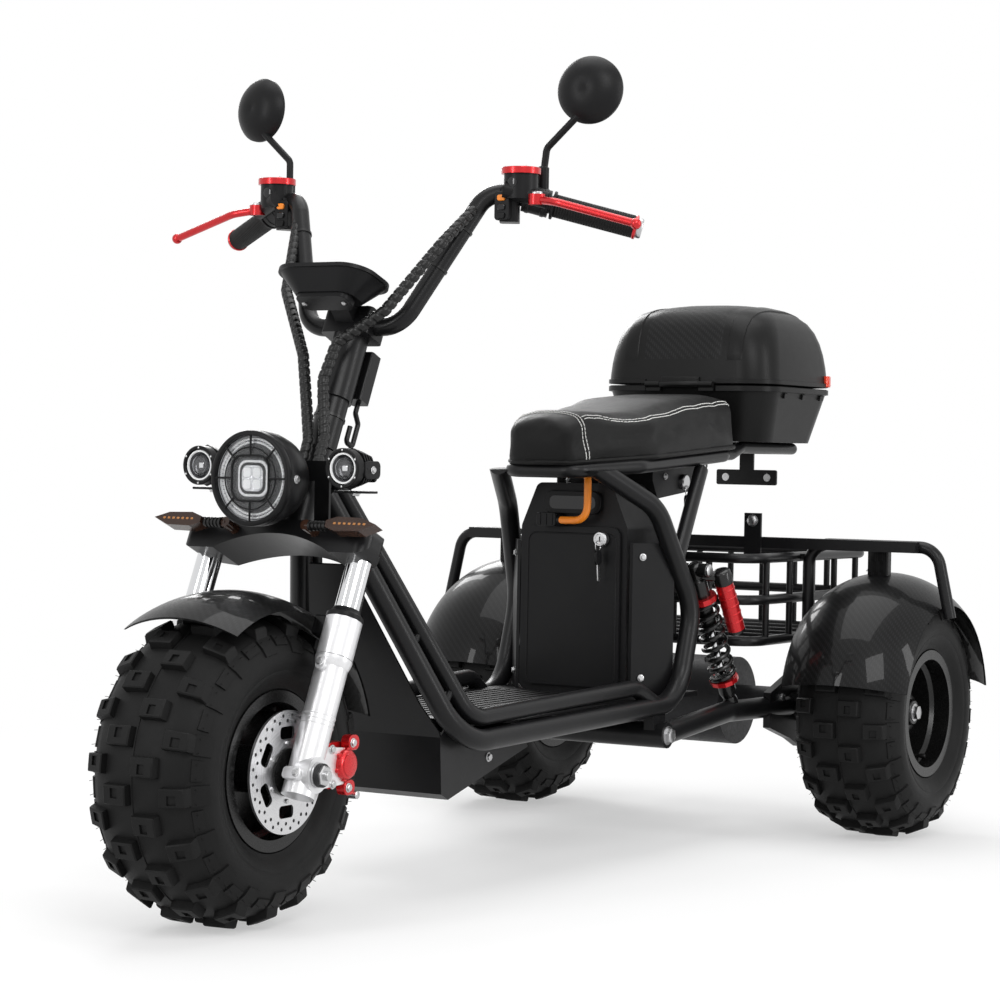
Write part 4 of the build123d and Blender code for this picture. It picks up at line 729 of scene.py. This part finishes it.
def brake_details():
    brake = Shape()
    face = facing(at(143, 90, 234), (1, 0, 0), (0, 1, 0))
    brake.turned(face, ((22, -14), (22, 5), (20, 8), (17, 9), (16.4, 11), (12, 12), (1, 12.2)), 36, 0)
    for index in range(6):
        turn = radians(60 * index + 20)
        brake.slab(shifted(face, 21 * cos(turn), 21 * sin(turn), 0), (8, 8), 3.9, -6, 5)
    for back, up in ((20, 30), (10, -34)):
        lug = shifted(face, back, up, -4)
        brake.slab(lug, (26, 22), 9, -8, 7)
        brake.bolt(shifted(lug, -4, 0, 7), 5.5, paint=1)
    brake.turned(shifted(face, 24, -46, 1), ((6, -8), (6, 6), (4.5, 7)), 16, 1)
    brake.turned(facing(at(121, 112, 238), (0, 1, 0.2)), ((5, -2), (5, 12), (3, 14), (3, 22)), 14, 1)
    for back, up in ((58, 258), (60, 208)):
        brake.bolt(facing(at(143, back, up), (1, 0, 0)), 5.5, paint=1)
    brake.made("caliper_bosses", "steering", ["red_metal", "bolt_steel"], "red_metal")


# Saddle
SEAT_VOXEL = 0.006
SWELL_FRAMES = 20
SWELL_LIMIT = 0.006


def seat_half(back):
    """Half width of the saddle at a distance from its front edge."""
    return 64 + 68 * back / 190 if back < 190 else 132 + 4 * (back - 190) / 327


def seat_local(point):
    """Distances left, behind the front edge and over the saddle's underside."""
    moved = (point - at(0, SEAT_FRONT, SEAT_UNDER)) * 1000
    back = moved.y * cos(SEAT_TILT) + moved.z * sin(SEAT_TILT)
    return moved.x, back, moved.z * cos(SEAT_TILT) - moved.y * sin(SEAT_TILT)


def seat_form(x, back, up):
    """Lowered rider's place, low nose and sides drawn in between the corners."""
    rise = max(0.0, (up - 20) / (SEAT_HEIGHT - 20))
    dip = -13 * exp(-((back - 165) / 105) ** 2) - 14 * exp(-(back / 40) ** 2)
    dip -= 9 * min(abs(x) / seat_half(max(back, 0)), 1) ** 3
    if back < 330:
        dip -= 5 * min(1.0, (330 - back) / 60)
    waist = 1 - 0.022 * sin(pi * min(max(up / SEAT_HEIGHT, 0), 1)) - 0.012
    return on_seat(x * waist, 3 + back * 0.988, up + dip * rise - 3 * rise)


def evaluated(piece):
    return piece.evaluated_get(bpy.context.evaluated_depsgraph_get())


def even_seat():
    """Mesh of the seat's solid with faces of one size."""
    source = NODES["seat"]
    solid = linked("saddle_solid", source.data.copy())
    solid.matrix_world = source.matrix_world.copy()
    remesh = solid.modifiers.new("even", "REMESH")
    remesh.mode = "VOXEL"
    remesh.voxel_size = SEAT_VOXEL
    bpy.context.view_layer.update()
    mesh = bpy.data.meshes.new_from_object(evaluated(solid))
    mesh.transform(source.matrix_world)
    bpy.data.objects.remove(solid)
    return mesh


def swell(cushion, mesh):
    """Cover blown up a little by its stuffing."""
    start = [vertex.co.copy() for vertex in mesh.vertices]
    cloth = cushion.modifiers.new("stuffing", "CLOTH")
    cloth.settings.quality = 5
    cloth.settings.mass = 0.4
    cloth.settings.tension_stiffness = 30
    cloth.settings.bending_stiffness = 8
    cloth.settings.use_pressure = True
    cloth.settings.uniform_pressure_force = 4
    cloth.settings.vertex_group_mass = "resting"
    cloth.settings.effector_weights.gravity = 0
    cloth.point_cache.frame_start, cloth.point_cache.frame_end = 1, SWELL_FRAMES
    for step in range(1, SWELL_FRAMES + 1):
        bpy.context.scene.frame_set(step)
    moved = [vertex.co.copy() for vertex in evaluated(cushion).to_mesh().vertices]
    cushion.modifiers.remove(cloth)
    for vertex, old, new in zip(mesh.vertices, start, moved):
        shift = new - old
        vertex.co = old + (shift if shift.length < SWELL_LIMIT else shift.normalized() * SWELL_LIMIT)
    bpy.context.scene.frame_set(1)


def saddle():
    mesh = even_seat()
    cushion = linked("saddle_cushion", mesh)
    resting = cushion.vertex_groups.new(name="resting")
    for vertex in mesh.vertices:
        x, back, up = seat_local(vertex.co)
        vertex.co = seat_form(x, back, up)
        if up < 10:
            resting.add([vertex.index], 1.0, "REPLACE")
    swell(cushion, mesh)
    even_out = bmesh.new()
    even_out.from_mesh(mesh)
    for _ in range(4):
        bmesh.ops.smooth_vert(even_out, verts=even_out.verts, factor=0.5, use_axis_x=True, use_axis_y=True,
                              use_axis_z=True)
    tree = BVHTree.FromBMesh(even_out)
    even_out.to_mesh(mesh)
    even_out.free()
    mesh.polygons.foreach_set("use_smooth", [True] * len(mesh.polygons))
    mesh.materials.clear()
    mesh.materials.append(PAINTS["seat_cover"])
    smooth = cushion.modifiers.new("smooth", "SUBSURF")
    smooth.levels = smooth.render_levels = 1
    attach(cushion, "chassis")
    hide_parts("seat")
    stitch(tree)


def seat_lines():
    """Sewn lines of the cover, as places near its skin."""
    sides = []
    for hand in (1, -1):
        sides.append([on_seat(hand * (seat_half(back) - 6), back, 96) for back in range(46, 512, 8)])
    arch = [(70, 44, 8), (70, 42, 34), (68, 40, 62), (64, 40, 84), (54, 42, 96), (34, 44, 100), (0, 45, 101)]
    arch = [on_seat(x, back, up) for x, back, up in arch]
    arch += [MIRROR @ point for point in reversed(arch[:-1])]
    return [*sides, arch]


def stitch(tree):
    """Threads and seams along the sewn lines, and a welt round the saddle's foot."""
    threads = Shape()
    seams = Shape()
    for line in seat_lines():
        spots = [tree.find_nearest(point)[:2] for point in even(line, 0.0035)]
        seams.tube([place - normal * 0.0003 for place, normal in spots[::2]], 0.0011, 6)
        for row in (-0.0034, 0.0034):
            path = []
            for index, (place, normal) in enumerate(spots):
                ahead = spots[min(index + 1, len(spots) - 1)][0] - spots[max(index - 1, 0)][0]
                path.append((place + normal.cross(ahead).normalized() * row, normal))
            for (start, up), (end, end_up) in list(zip(path, path[1:]))[::2]:
                reach = end - start
                threads.tube([start - reach * 0.25 - up * 0.0002, start + up * 0.0006,
                              end + end_up * 0.0006, end + reach * 0.25 - end_up * 0.0002], 0.0008, 5)
    threads.made("saddle_stitching", "chassis", ["thread_white"], "seat_cover")
    outline = [(seat_half(back) - 4, back) for back in range(30, 500, 10)]
    outline = [(0, 6), (30, 6), (52, 10), (62, 20), *outline, (116, 512), (60, 513), (0, 513)]
    base = [on_seat(x, back, 3) for x, back in outline]
    base += [on_seat(-x, back, 3) for x, back in reversed(outline[1:-1])]
    seams.tube(base, 0.0045, 8, closed=True)
    seams.made("saddle_seams", "chassis", ["seat_cover"], "seat_cover")


# Lamps
LAMP_SHELL = (
    (62, -14), (61.8, -3), (62.4, -1), (64, 0), (67.4, -0.2), (69.4, -1.6), (70, -4), (70, -10), (69, -11.5),
    (70, -13), (70, -30), (68.6, -38), (62, -60), (52, -78), (41, -93), (31, -103), (12, -104),
)
LAMP_BOWL = ((61.8, -12), (58, -16), (50, -27), (40, -34), (30, -37), (4, -38))
LAMP_GLASS = (
    (61.5, -9.4), (61.5, -8), (46, -6.2), (24, -5.2), (1, -4.9), (1, -6.2), (24, -6.5),
    (46, -7.5), (60, -9.4),
)
# Square blocks of the lamp's middle: size, low and high end, paint
LAMP_BLOCKS = ((60, -36, -12, 0), (54, -13, -9.5, 3), (46, -10, -8.9, 0), (38, -9.4, -7.8, 1))
# Turned parts of an auxiliary lamp: profile, steps and paint of its bezel, light ring and bowl
FOG_PARTS = (
    (((23.8, -8), (23.8, 0.2), (25, 1.6), (28.2, 1.6), (29.2, 0.4), (29.2, -5)), 48, 0),
    (((19.4, -6), (19.8, -1.6), (20.4, -0.4), (22.2, -0.4), (22.9, -1.6), (23.4, -6)), 48, 1),
    (((19.6, -3), (15.4, -6.4), (8, -7.4), (1, -7.6)), 36, 5),
)


def lamp_face():
    return turned_forward(0, 42, LAMP_HEIGHT)


def fog_face(hand):
    return turned_forward(hand * FOG_X, FOG_BACK, FOG_HEIGHT)


def headlamp():
    lamp = Shape()
    face = lamp_face()
    lamp.turned(face, LAMP_SHELL, 72, 0)
    lamp.turned(face, LAMP_BOWL, 48, 1, caps=False)
    for radius in (57.5, 52.5):
        ring = ((radius - 1.6, -15), (radius - 1.2, -10.5), (radius + 1.2, -10.5), (radius + 1.6, -15))
        lamp.turned(face, ring, 72, 2, caps=False)
    for spoke in range(60):
        lamp.slab(spun(face, radians(6 * spoke), 55, -11.5), (6, 1.6), 0.5, -3, 1, 3, 0.3, 2)
    for size, low, high, paint in LAMP_BLOCKS:
        lamp.slab(face, (size, size), size * 0.28, low, high, paint)
    for x, y in ((-8.5, 8.5), (8.5, 8.5), (-8.5, -8.5), (8.5, -8.5)):
        lamp.slab(shifted(face, x, y, 0), (14, 14), 4, -8.4, -6.8, 2, 0.5)
    guard = [face @ metres(x, y, -3) for x, y in rounded(66, 66, 19, 6)]
    lamp.tube(guard, 0.0018, 8, 0, closed=True)
    for spoke in range(8):
        inner = 33 if spoke % 2 == 0 else 38.8
        bar = [spun(face, pi / 4 * spoke, reach, -3).translation for reach in (inner, 48, 63.4)]
        lamp.tube(bar, 0.0016, 8, 0)
    lamp.tube(circle(face, 45, -3, 64), 0.0011, 6, 0, closed=True)
    for hand in (1, -1):
        lamp.bolt(facing(at(hand * 70, 62, LAMP_HEIGHT), (hand, 0, 0)), 5, paint=4)
    paints = ["control_black", "lamp_bowl", "lamp_white", "chrome", "bolt_steel"]
    lamp.made("headlamp_body", "steering", paints, "control_black", ("headlamp",))


def lamp_glasses():
    glass = Shape()
    glass.turned(lamp_face(), LAMP_GLASS, 64, 0)
    for hand in (1, -1):
        glass.turned(fog_face(hand), ((15.2, -6), (14.6, -2.8), (11, 0.4), (6, 2.2), (1, 2.7)), 36, 0)
    glass.made("lamp_glasses", "steering", ["lamp_clear"], "lamp_clear", ("lamp_lenses",))


def fog_lamps():
    fogs = Shape()
    for hand in (1, -1):
        fog = fog_face(hand)
        for profile, steps, paint in FOG_PARTS:
            fogs.turned(fog, profile, steps, paint, caps=False)
        fogs.slab(fog, (9, 9), 2, -8, -5.6, 3)
        for screw in range(6):
            place = spun(fog, radians(60 * screw + 30), 26.2, 1.6)
            fogs.turned(place, ((1.6, -0.6), (1.6, 0.6), (1, 0.9)), 10, 4)
        for wing in (1, -1):
            cheek = facing(at(hand * FOG_X + wing * 29, 126, FOG_HEIGHT - 2), (wing, 0, 0), (0, 1, 0))
            fogs.slab(cheek, (40, 26), 8, -3, 1.4, 0)
            fogs.bolt(shifted(cheek, 0, 0, 1.4), 4.5, paint=4)
        foot = facing(at(hand * FOG_X, 128, FOG_HEIGHT - 33), (0, 0, 1))
        fogs.slab(foot, (62, 26), 4, -3, 0.5, 0)
        fogs.bolt(facing(at(hand * FOG_X, 128, FOG_HEIGHT - 36), (0, 0, -1)), 5.5, paint=4)
    paints = ["control_black", "lamp_white", "lamp_bowl", "chrome", "bolt_steel", "lamp_dark"]
    fogs.made("fog_lamp_fronts", "steering", paints, "control_black")


def indicators():
    leaves = Shape()
    boot = [(8.4, 0), (8.4, 3.2)]
    for index in range(9):
        radius = 7.6 if index % 2 else 6.0
        boot += [(radius, 4 + 3.2 * index), (radius, 6.6 + 3.2 * index)]
    for hand in (1, -1):
        for index in range(7):
            place = facing(on_fork(hand * (128 + 8.5 * index), -91, 352.5), -STEER_BACK)
            leaves.slab(place, (4.6, 3.4), 1, -0.4, 0.6, 0, 0.3, 2)
        leaves.turned(facing(on_fork(hand * 79, -80, 352), (hand, 0, 0)), boot, 24, 1)
    leaves.made("indicator_lights", "steering", ["led_amber", "loom_black"], "amber_smoke")


# Handlebar
RISER_FOOT = on_fork(84, 0, 714)
RISER_TOP = at(178, 405, 1088)
GRIP_END = at(368, 506, 1034)
GRIP_LINE = (GRIP_END - RISER_TOP).normalized()


def on_bar(along, left=0, back=0, up=0):
    """Place by the left grip's line, measured from its outer end and then shifted."""
    return GRIP_END - GRIP_LINE * (along / 1000) + metres(left, back, up)


def controls():
    shape = Shape()
    for side in SIDES:
        cap = side @ facing(on_bar(-9), GRIP_LINE)
        shape.turned(cap, ((17.7, -4), (18.6, -3), (18.6, 0), (17, 1)), 32, 0)
        shape.turned(cap, ((15, 0.5), (15.4, 2), (15.4, 7), (14, 9), (5, 9.4)), 32, 1)
        flange = side @ facing(on_bar(122), -GRIP_LINE)
        shape.turned(flange, ((17.6, -3), (21.5, -2), (22, 0), (21.5, 2), (15, 3)), 32, 2)
        for along in (136, 160):
            shape.band(side @ facing(on_bar(along), GRIP_LINE), 21.1, 22, 3, 2, 32, 2)
        for along in (166, 134):
            shape.bolt(side @ facing(on_bar(along, 0, -21, 4), (0, -1, 0.1)), 4, paint=1)
        bowl = side @ facing(on_bar(150, -12, -24, 47), (0, 0, 1))
        shape.turned(bowl, ((29.6, -0.4), (29.2, 1), (24, 1.4), (23, 0.8), (4, 0.8)), 40, 0)
        for turn in (45, 135, 225, 315):
            shape.turned(spun(bowl, radians(turn), 25.5, 1.2), ((2.6, -0.4), (2.6, 1), (1.6, 1.5)), 12, 1)
        window = side @ facing(on_bar(150, -12, -49, 24), (0, -1, 0))
        shape.turned(window, ((8, -2), (8, 1), (6.4, 1.8), (1, 2)), 24, 3)
        pivot = side @ facing(on_bar(126, 0, -42, 12), (0, 0, 1))
        shape.turned(pivot, ((9, -1), (9, 3), (7.6, 4), (2, 4)), 24, 1)
        pod = side @ facing(on_bar(190, 0, -20, -20), (0, -1, 0), (1, 0, 0))
        shape.slab(pod, (26, 44), 6, -4, 5, 2)
        for up, paint in ((12, 4), (-2, 3), (-15, 2)):
            shape.slab(shifted(pod, 0, up, 0), (13, 9), 3, 4, 8.5, paint)
        nut = side @ facing(on_bar(152, 0, 26, 52), (0, 0, 1))
        shape.turned(nut, ((9.4, -8), (9.4, 0), (7, 2)), 6, 2)
    paints = ["red_metal", "bolt_steel", "control_black", "screen_glass", "lead_orange"]
    shape.made("control_fittings", "steering", paints, "control_black")


def display():
    face = facing(at(0, 237 + 0.34 * 37, 912 + 0.94 * 36.4), (0, 0.34, 0.94))
    screen = Shape()
    screen.slab(face, (150, 94), 34, -1, 1.2, 0)
    screen.slab(face, (104, 58), 12, 1, 2.0, 1, 0.4)
    for x in (-62, 62):
        screen.turned(shifted(face, x, 0, 1), ((6, -1), (6, 1.4), (4, 2), (1, 2)), 20, 0)
    under = facing(at(0, 224, 916), (0, -0.5, -0.86))
    screen.slab(shifted(under, 0, -6, 4), (92, 40), 14, -6, 5, 0)
    for x in (-36, 36):
        screen.bolt(shifted(under, x, -6, 9), 3.4, paint=2)
    screen.made("display_glass", "steering", ["control_black", "screen_glass", "bolt_steel"], "control_black")


# Wiring looms below their start on the bar, left and right
LOOMS = (
    ((146, 322, 1000), (88, 256, 894), (20, 230, 846), (9, 212, 790), (32, 185, 706), (40, 156, 662)),
    ((-124, 300, 930), (-42, 232, 828), (-14, 202, 760), (10, 176, 700), (14, 156, 664)),
)


def loom_relief(travel, turn):
    """Radius of a loom wound with a spiral wrap."""
    phase = (travel / 0.0135 - turn / (2 * pi)) % 1
    return 0.0089 if phase < 0.66 else 0.0076


def looms():
    wraps = Shape()
    for side, corners in zip(SIDES, LOOMS):
        path = [side @ RISER_FOOT.lerp(RISER_TOP, 0.9), *(at(*corner) for corner in corners)]
        wraps.tube(bent_path(path, 0.024, 0.0011), 0.009, 18, relief=loom_relief)
    wraps.made("loom_wraps", "steering", ["loom_black"], "loom_black", ("wiring_looms",), 50)
    ties = Shape()
    for share in (0.42, 0.7):
        for side in SIDES:
            tie = facing(side @ RISER_FOOT.lerp(RISER_TOP, share), side @ (RISER_TOP - RISER_FOOT))
            ties.band(tie, 14.2, 15.6, 2.4, 2, 28)
    for up in (560, 640):
        ties.band(facing(on_fork(0, 0, up), STEER_UP), 23.2, 24.6, 2.4, 2, 36)
    for x in (-27, 27):
        for back in (-16, 16):
            ties.bolt(facing(on_fork(x, back, 737), STEER_UP), 5, paint=1)
    ties.made("steering_ties", "steering", ["loom_black", "bolt_steel"], "loom_black")


# Frame, battery and floor
LEAD = ((-14, 978, 571), (44, 968, 572), (44, 968, 640), (30, 984, 688))
# Bolts on both sides of the frame: left, back, up, the way the head looks and its size
FRAME_BOLTS = (
    (124, 520, 206, (1, 0, 0), 6),
    (200, 985, 208, (1, 0, 0), 13),
    (84, 1330, 668, (1, 0, 0), 5),
    (84, 1180, 650, (1, 0, 0), 5),
    (150, 1406, 570, (0, -1, 0), 9),
    (219, WHEELBASE - 80, 246, (1, 0, 0), 7),
    (219, WHEELBASE + 24, 214, (1, 0, 0), 7),
    (45, 1685, 648, (0, 1, 0), 6),
    (372, WHEELBASE - 40, 484, (0, 0, 1), 6),
)


def hanging_key(shape, hook, metal, fob):
    """Key on a ring, hanging from a lock."""
    ring = circle(facing(hook + metres(0, 0, -8), (1, 0, 0), (0, 1, 0)), 9, 0, 24)
    shape.tube(ring, 0.0009, 6, metal, closed=True)
    head = facing(hook + metres(0, 0, -28), (1, 0, 0.05), (0, 1, 0))
    shape.slab(head, (20, 26), 8, -2.6, 2.6, fob)
    shape.slab(shifted(head, 0, -26, 0), (7, 30), 2, -0.9, 0.9, metal, 0.3)
    for tooth in range(3):
        shape.slab(shifted(head, 3, -24 - 6 * tooth, 0), (4, 3), 0.5, -0.9, 0.9, metal, 0.2, 2)


def floor_mat():
    mat = Shape()
    top = facing(at(0, 716, 270), (0, 0, 1))
    for row in range(13):
        mat.slab(shifted(top, -120 + 20 * row, 0, 0), (8, 480), 3.5, -1, 2.0, 0, 0.7, 3)
    mat.slab(top, (266, 500), 22, -1, 0.6, 0, 0.4)
    mat.made("floor_mat", "chassis", ["tyre_black"], "grip_rubber")


def battery_details():
    pack = Shape()
    front = turned_forward(0, 994, 0)
    border = [front @ metres(x, 415 + y, 0.2) for x, y in rounded(176, 266, 15, 6)]
    pack.tube(border, 0.0014, 6, 0, closed=True)
    slot = shifted(front, 0, 602, 0)
    pack.slab(slot, (112, 40), 16, -8, 1.5, 0)
    pack.slab(slot, (92, 24), 10, 1, 2.2, 1, 0.4)
    plug = shifted(front, -40, 572, 12)
    pack.slab(plug, (38, 24), 5, -12, 12, 0)
    for rib in (-12, 0, 12):
        pack.slab(shifted(plug, rib, 0, 12), (3, 20), 1, -1, 1.4, 0, 0.4, 2)
    gland = facing(at(-20, 982, 570), (1, 0, 0))
    pack.turned(gland, ((10, -6), (10, 4), (8.4, 8), (7.2, 16)), 20, 0)
    lock = shifted(front, 62, 540, 12)
    pack.turned(lock, ((13, -10), (13, 0), (11.6, 1.6), (9, 1.8), (8.4, 1), (1, 1)), 28, 2)
    pack.slab(lock, (2.4, 9), 0.8, 0.8, 1.6, 1, 0.3)
    hanging_key(pack, at(62, 976, 536), 2, 0)
    for hand in (1, -1):
        for up in (300, 510):
            pack.bolt(facing(at(hand * 128, 1018, up), (hand * 0.78, -0.62, 0)), 5, paint=2)
    pack.made("battery_fittings", "chassis", ["control_black", "screen_glass", "bolt_steel"], "control_black")
    lead = Shape()
    lead.tube(bent_path([at(*corner) for corner in LEAD], 0.034, 0.003), 0.0065, 18)
    lead.made("charge_lead", "chassis", ["lead_orange"], "lead_orange", ("battery_lead",))


def frame_bolts():
    bolts = Shape()
    for hand in (1, -1):
        for x, back, up, look, size in FRAME_BOLTS:
            bolts.bolt(facing(at(hand * x, back, up), (hand * look[0], *look[1:])), size)
        bolts.turned(facing(at(hand * 196, 1134, 486), (hand, 0, 0)), ((11, -2), (11, 4), (8, 6), (2, 6)), 24)
    bolts.turned(facing(at(84, 1250, 640), (1, 0, 0)), ((14, -1), (14, 6), (12, 8), (4, 8.4)), 28)
    hanging_key(bolts, at(94, 1250, 632), 0, 1)
    bolts.made("frame_bolts", "chassis", ["bolt_steel", "control_black"], "axle_metal")


# Springs
SHOCK_TOP = at(170, 1134, 486)
SHOCK_FOOT = at(186, WHEELBASE - 222, 240)
# Sections of a shock: its head from the upper eye, its foot from the lower eye
SHOCK_HEAD = ((9, -13), (14, -10), (14, 10), (12, 16), (16, 20), (16, 66), (14, 68), (14, 110), (11, 112))
SHOCK_BASE = ((16, -64), (16, -30), (12, -20), (14, -12), (14, 8), (9, 12))
COILS = 7.5
COIL_STEPS = 24
COIL_RADIUS = 21.5


def springs():
    shape = Shape()
    line = (SHOCK_FOOT - SHOCK_TOP).normalized()
    length = (SHOCK_FOOT - SHOCK_TOP).length * 1000
    low, high = 64, length - 58
    neck = SHOCK_TOP + line * 0.012
    shift = metres(36, 30, 0)
    for side in SIDES:
        body = side @ facing(SHOCK_TOP, line)
        shape.turned(body, SHOCK_HEAD, 32, 0)
        shape.turned(body, ((6.5, 108), (6.5, length - 66)), 24, 1)
        shape.turned(body, [(radius, length + height) for radius, height in SHOCK_BASE], 32, 0)
        coil = []
        for index in range(int(COILS * COIL_STEPS) + 1):
            turns = index / COIL_STEPS
            angle = 2 * pi * turns
            height = low + (high - low) * turns / COILS
            coil.append(body @ metres(COIL_RADIUS * cos(angle), COIL_RADIUS * sin(angle), height))
        shape.tube(coil, 0.0042, 10, 0)
        shape.tube([side @ (SHOCK_TOP + metres(x, 0, 0)) for x in (-26, 0, 26)], 0.0125, 24, 0)
        shape.tube([side @ (neck + shift * share) for share in (0, 0.5, 1)], 0.009, 20, 0)
        cap = side @ facing(SHOCK_TOP + line * 0.002 + shift, line)
        shape.turned(cap, ((10, -3), (15, -1), (17, 2), (17, 23), (16, 24.2)), 32, 0)
        for ring in (34, 50, 66, 82, 98):
            shape.band(shifted(cap, 0, 0, ring), 16.05, 16.9, 1.4, 0.8, 32, 2)
        shape.turned(shifted(cap, 0, 0, 116), ((16.2, -0.5), (16.2, 4), (13, 7), (2, 7.4)), 32, 0)
    shape.made("coil_shocks", "chassis", ["shock_black", "chrome", "red_metal"], "shock_black", ("shocks",))


# Top case
CASE_MIDDLE = 1558
CASE_WIDTH = 352
CASE_DEPTH = 322
CASE_CORNER = 62
# Middle of a round corner, from the middle of the case
CORNER_X = CASE_WIDTH / 2 - CASE_CORNER
CORNER_BACK = CASE_DEPTH / 2 - CASE_CORNER
HINGE_GAP = 74
BAND_PROUD = 2.6
LID_WALL = 3
LID_FOOT = 823.4
HINGE_BACK = 1390
HINGE_HEIGHT = 821.5
# Swelling outline of the lid: how far in from the rim, and height over the ground
LID_SIDE = (
    (0, LID_FOOT), (0.8, 840), (2.6, 862), (6, 886), (11, 908), (18, 928), (28, 945), (41, 957), (58, 965.6),
    (80, 971), (108, 974.4), (140, 976.3), (156, 976.6),
)
STRIP_COLUMNS = 14
STRIP_ROWS = 40


def lid_ring(inset, height):
    """Outline of the lid drawn in from its rim."""
    corner = CASE_CORNER + 0.35 * min(inset, 60)
    outline = rounded(CASE_WIDTH - 2 * inset, CASE_DEPTH - 2 * inset, corner, 9)
    return [at(x, CASE_MIDDLE + y, height) for x, y in outline]


def lid_shell():
    """Hollow domed lid with its hinge knuckle, and the skin that its panels lie on."""
    shape = Shape()
    outer = [lid_ring(inset, height) for inset, height in reversed(LID_SIDE)]
    inner = [lid_ring(min(inset + LID_WALL, 157), max(height - LID_WALL, LID_FOOT))
             for inset, height in LID_SIDE]
    shape.skin(outer + inner)
    tree = BVHTree.FromPolygons(shape.points, shape.faces)
    knuckle = facing(at(0, HINGE_BACK, HINGE_HEIGHT), (1, 0, 0), (0, 1, 0))
    shape.turned(knuckle, ((5.4, -40), (6, -39.2), (6, 39.2), (5.4, 40)), 24)
    shape.slab(facing(at(0, HINGE_BACK + 5, HINGE_HEIGHT + 2), (0, 0, 1)), (79, 9), 3, 0, 12)
    shape.made("domed_lid", "case_lid", ["case_black"], "case_black", ("case_lid",), 40)
    return tree


def lid_point(tree, x, turn):
    """Skin of the lid where a ray towards its inside meets it, with its outward normal."""
    away = Vector((0, -cos(turn), sin(turn)))
    place, normal = tree.ray_cast(at(x, CASE_MIDDLE, 838) + away * 0.4, -away)[:2]
    return (place, normal) if normal.dot(away) > 0 else (place, -normal)


def lid_strip(shape, tree, left, right, lift, paint):
    """Raised panel over the lid from its front to its back between two sides."""
    grid = []
    for row in range(STRIP_ROWS + 1):
        turn = radians(9 + 162 * row / STRIP_ROWS)
        line = []
        for column in range(STRIP_COLUMNS + 1):
            place, normal = lid_point(tree, left + (right - left) * column / STRIP_COLUMNS, turn)
            edge = row in (0, STRIP_ROWS) or column in (0, STRIP_COLUMNS)
            line.append(place + normal * (-0.001 if edge else lift))
        grid.append(line)
    shape.skin(grid, paint, loop=False)


def rim_band(shape, low, high):
    """Band round the case's rim, open at the front where the hinge sits."""
    front = -CASE_DEPTH / 2
    outline = rounded(CASE_WIDTH, CASE_DEPTH, CASE_CORNER, 10)
    first = [index for index, (x, y) in enumerate(outline) if y < front + 1 and x < 0][-1]
    outline = outline[first + 1:] + outline[:first + 1]
    outline = [(HINGE_GAP, front)] + outline + [(-HINGE_GAP, front)]
    rings = []
    for x, y in outline:
        out_x = x - copysign(min(abs(x), CORNER_X), x)
        out_y = y - copysign(min(abs(y), CORNER_BACK), y)
        away = Vector((out_x, out_y, 0)).normalized()
        ring = []
        for out, up in ((-1, low), (BAND_PROUD, low + 0.6), (BAND_PROUD, high - 0.6), (-1, high)):
            place = Vector((x, y, 0)) + away * out
            ring.append(at(place.x, CASE_MIDDLE + place.y, up))
        rings.append(ring)
    shape.skin(rings)


def corner_reflector(shape, hand, paint):
    """Reflector bent round a rear corner of the lid."""
    rings = []
    back = CASE_MIDDLE + CORNER_BACK
    inner = CASE_CORNER - 1.5
    for index in range(15):
        turn = radians(2 + 4.5 * index)
        proud = CASE_CORNER + (7 if 0 < index < 14 else 3)
        section = ((inner, 825), (proud - 1, 825), (proud, 827), (proud, 844), (proud - 1, 846), (inner, 846))
        rings.append([at(hand * (CORNER_X + reach * cos(turn)), back + reach * sin(turn), up)
                      for reach, up in section])
    shape.skin(rings, paint)


def top_case():
    tree = lid_shell()
    lid = Shape()
    lid_strip(lid, tree, -88, 88, 0.0008, 1)
    rim_band(lid, LID_FOOT, 832)
    for hand in (1, -1):
        lid_strip(lid, tree, hand * 93, hand * 124, 0.0022, 0)
        corner_reflector(lid, hand, 2)
    lid.made("lid_panels", "case_lid", ["case_black", "case_weave", "reflector_red"], "case_black")
    base = Shape()
    rim_band(base, 809, 819.4)
    for hand in (1, -1):
        for back in (-70, 10, 90):
            face = facing(at(hand * 172.5, CASE_MIDDLE + back, 803), (hand, 0, -0.2), (0, 1, 0))
            base.slab(face, (16, 10), 2, -4, 3.4, 0)
    lock = facing(at(0, CASE_MIDDLE + 158, 800), (0, 1, -0.2))
    base.slab(lock, (52, 30), 6, -3, 6, 0)
    base.turned(shifted(lock, 0, 0, 6), ((9, -1), (9, 2), (7, 3), (1, 3)), 24, 1)
    base.made("case_rim", "chassis", ["case_black", "bolt_steel"], "case_black")


place_camera()
studio()
floor()
make_paints()
dress_nodes()
tyre("front_tread", "front_tyre", "front_wheel", 0, 0)
tyre("rear_tread_left", "rear_tyre_left", "rear_wheel_left", REAR_X, WHEELBASE)
tyre("rear_tread_right", "rear_tyre_right", "rear_wheel_right", -REAR_X, WHEELBASE)
wheel_details()
fork_details()
brake_details()
saddle()
headlamp()
lamp_glasses()
fog_lamps()
indicators()
controls()
display()
looms()
floor_mat()
battery_details()
frame_bolts()
springs()
top_case()
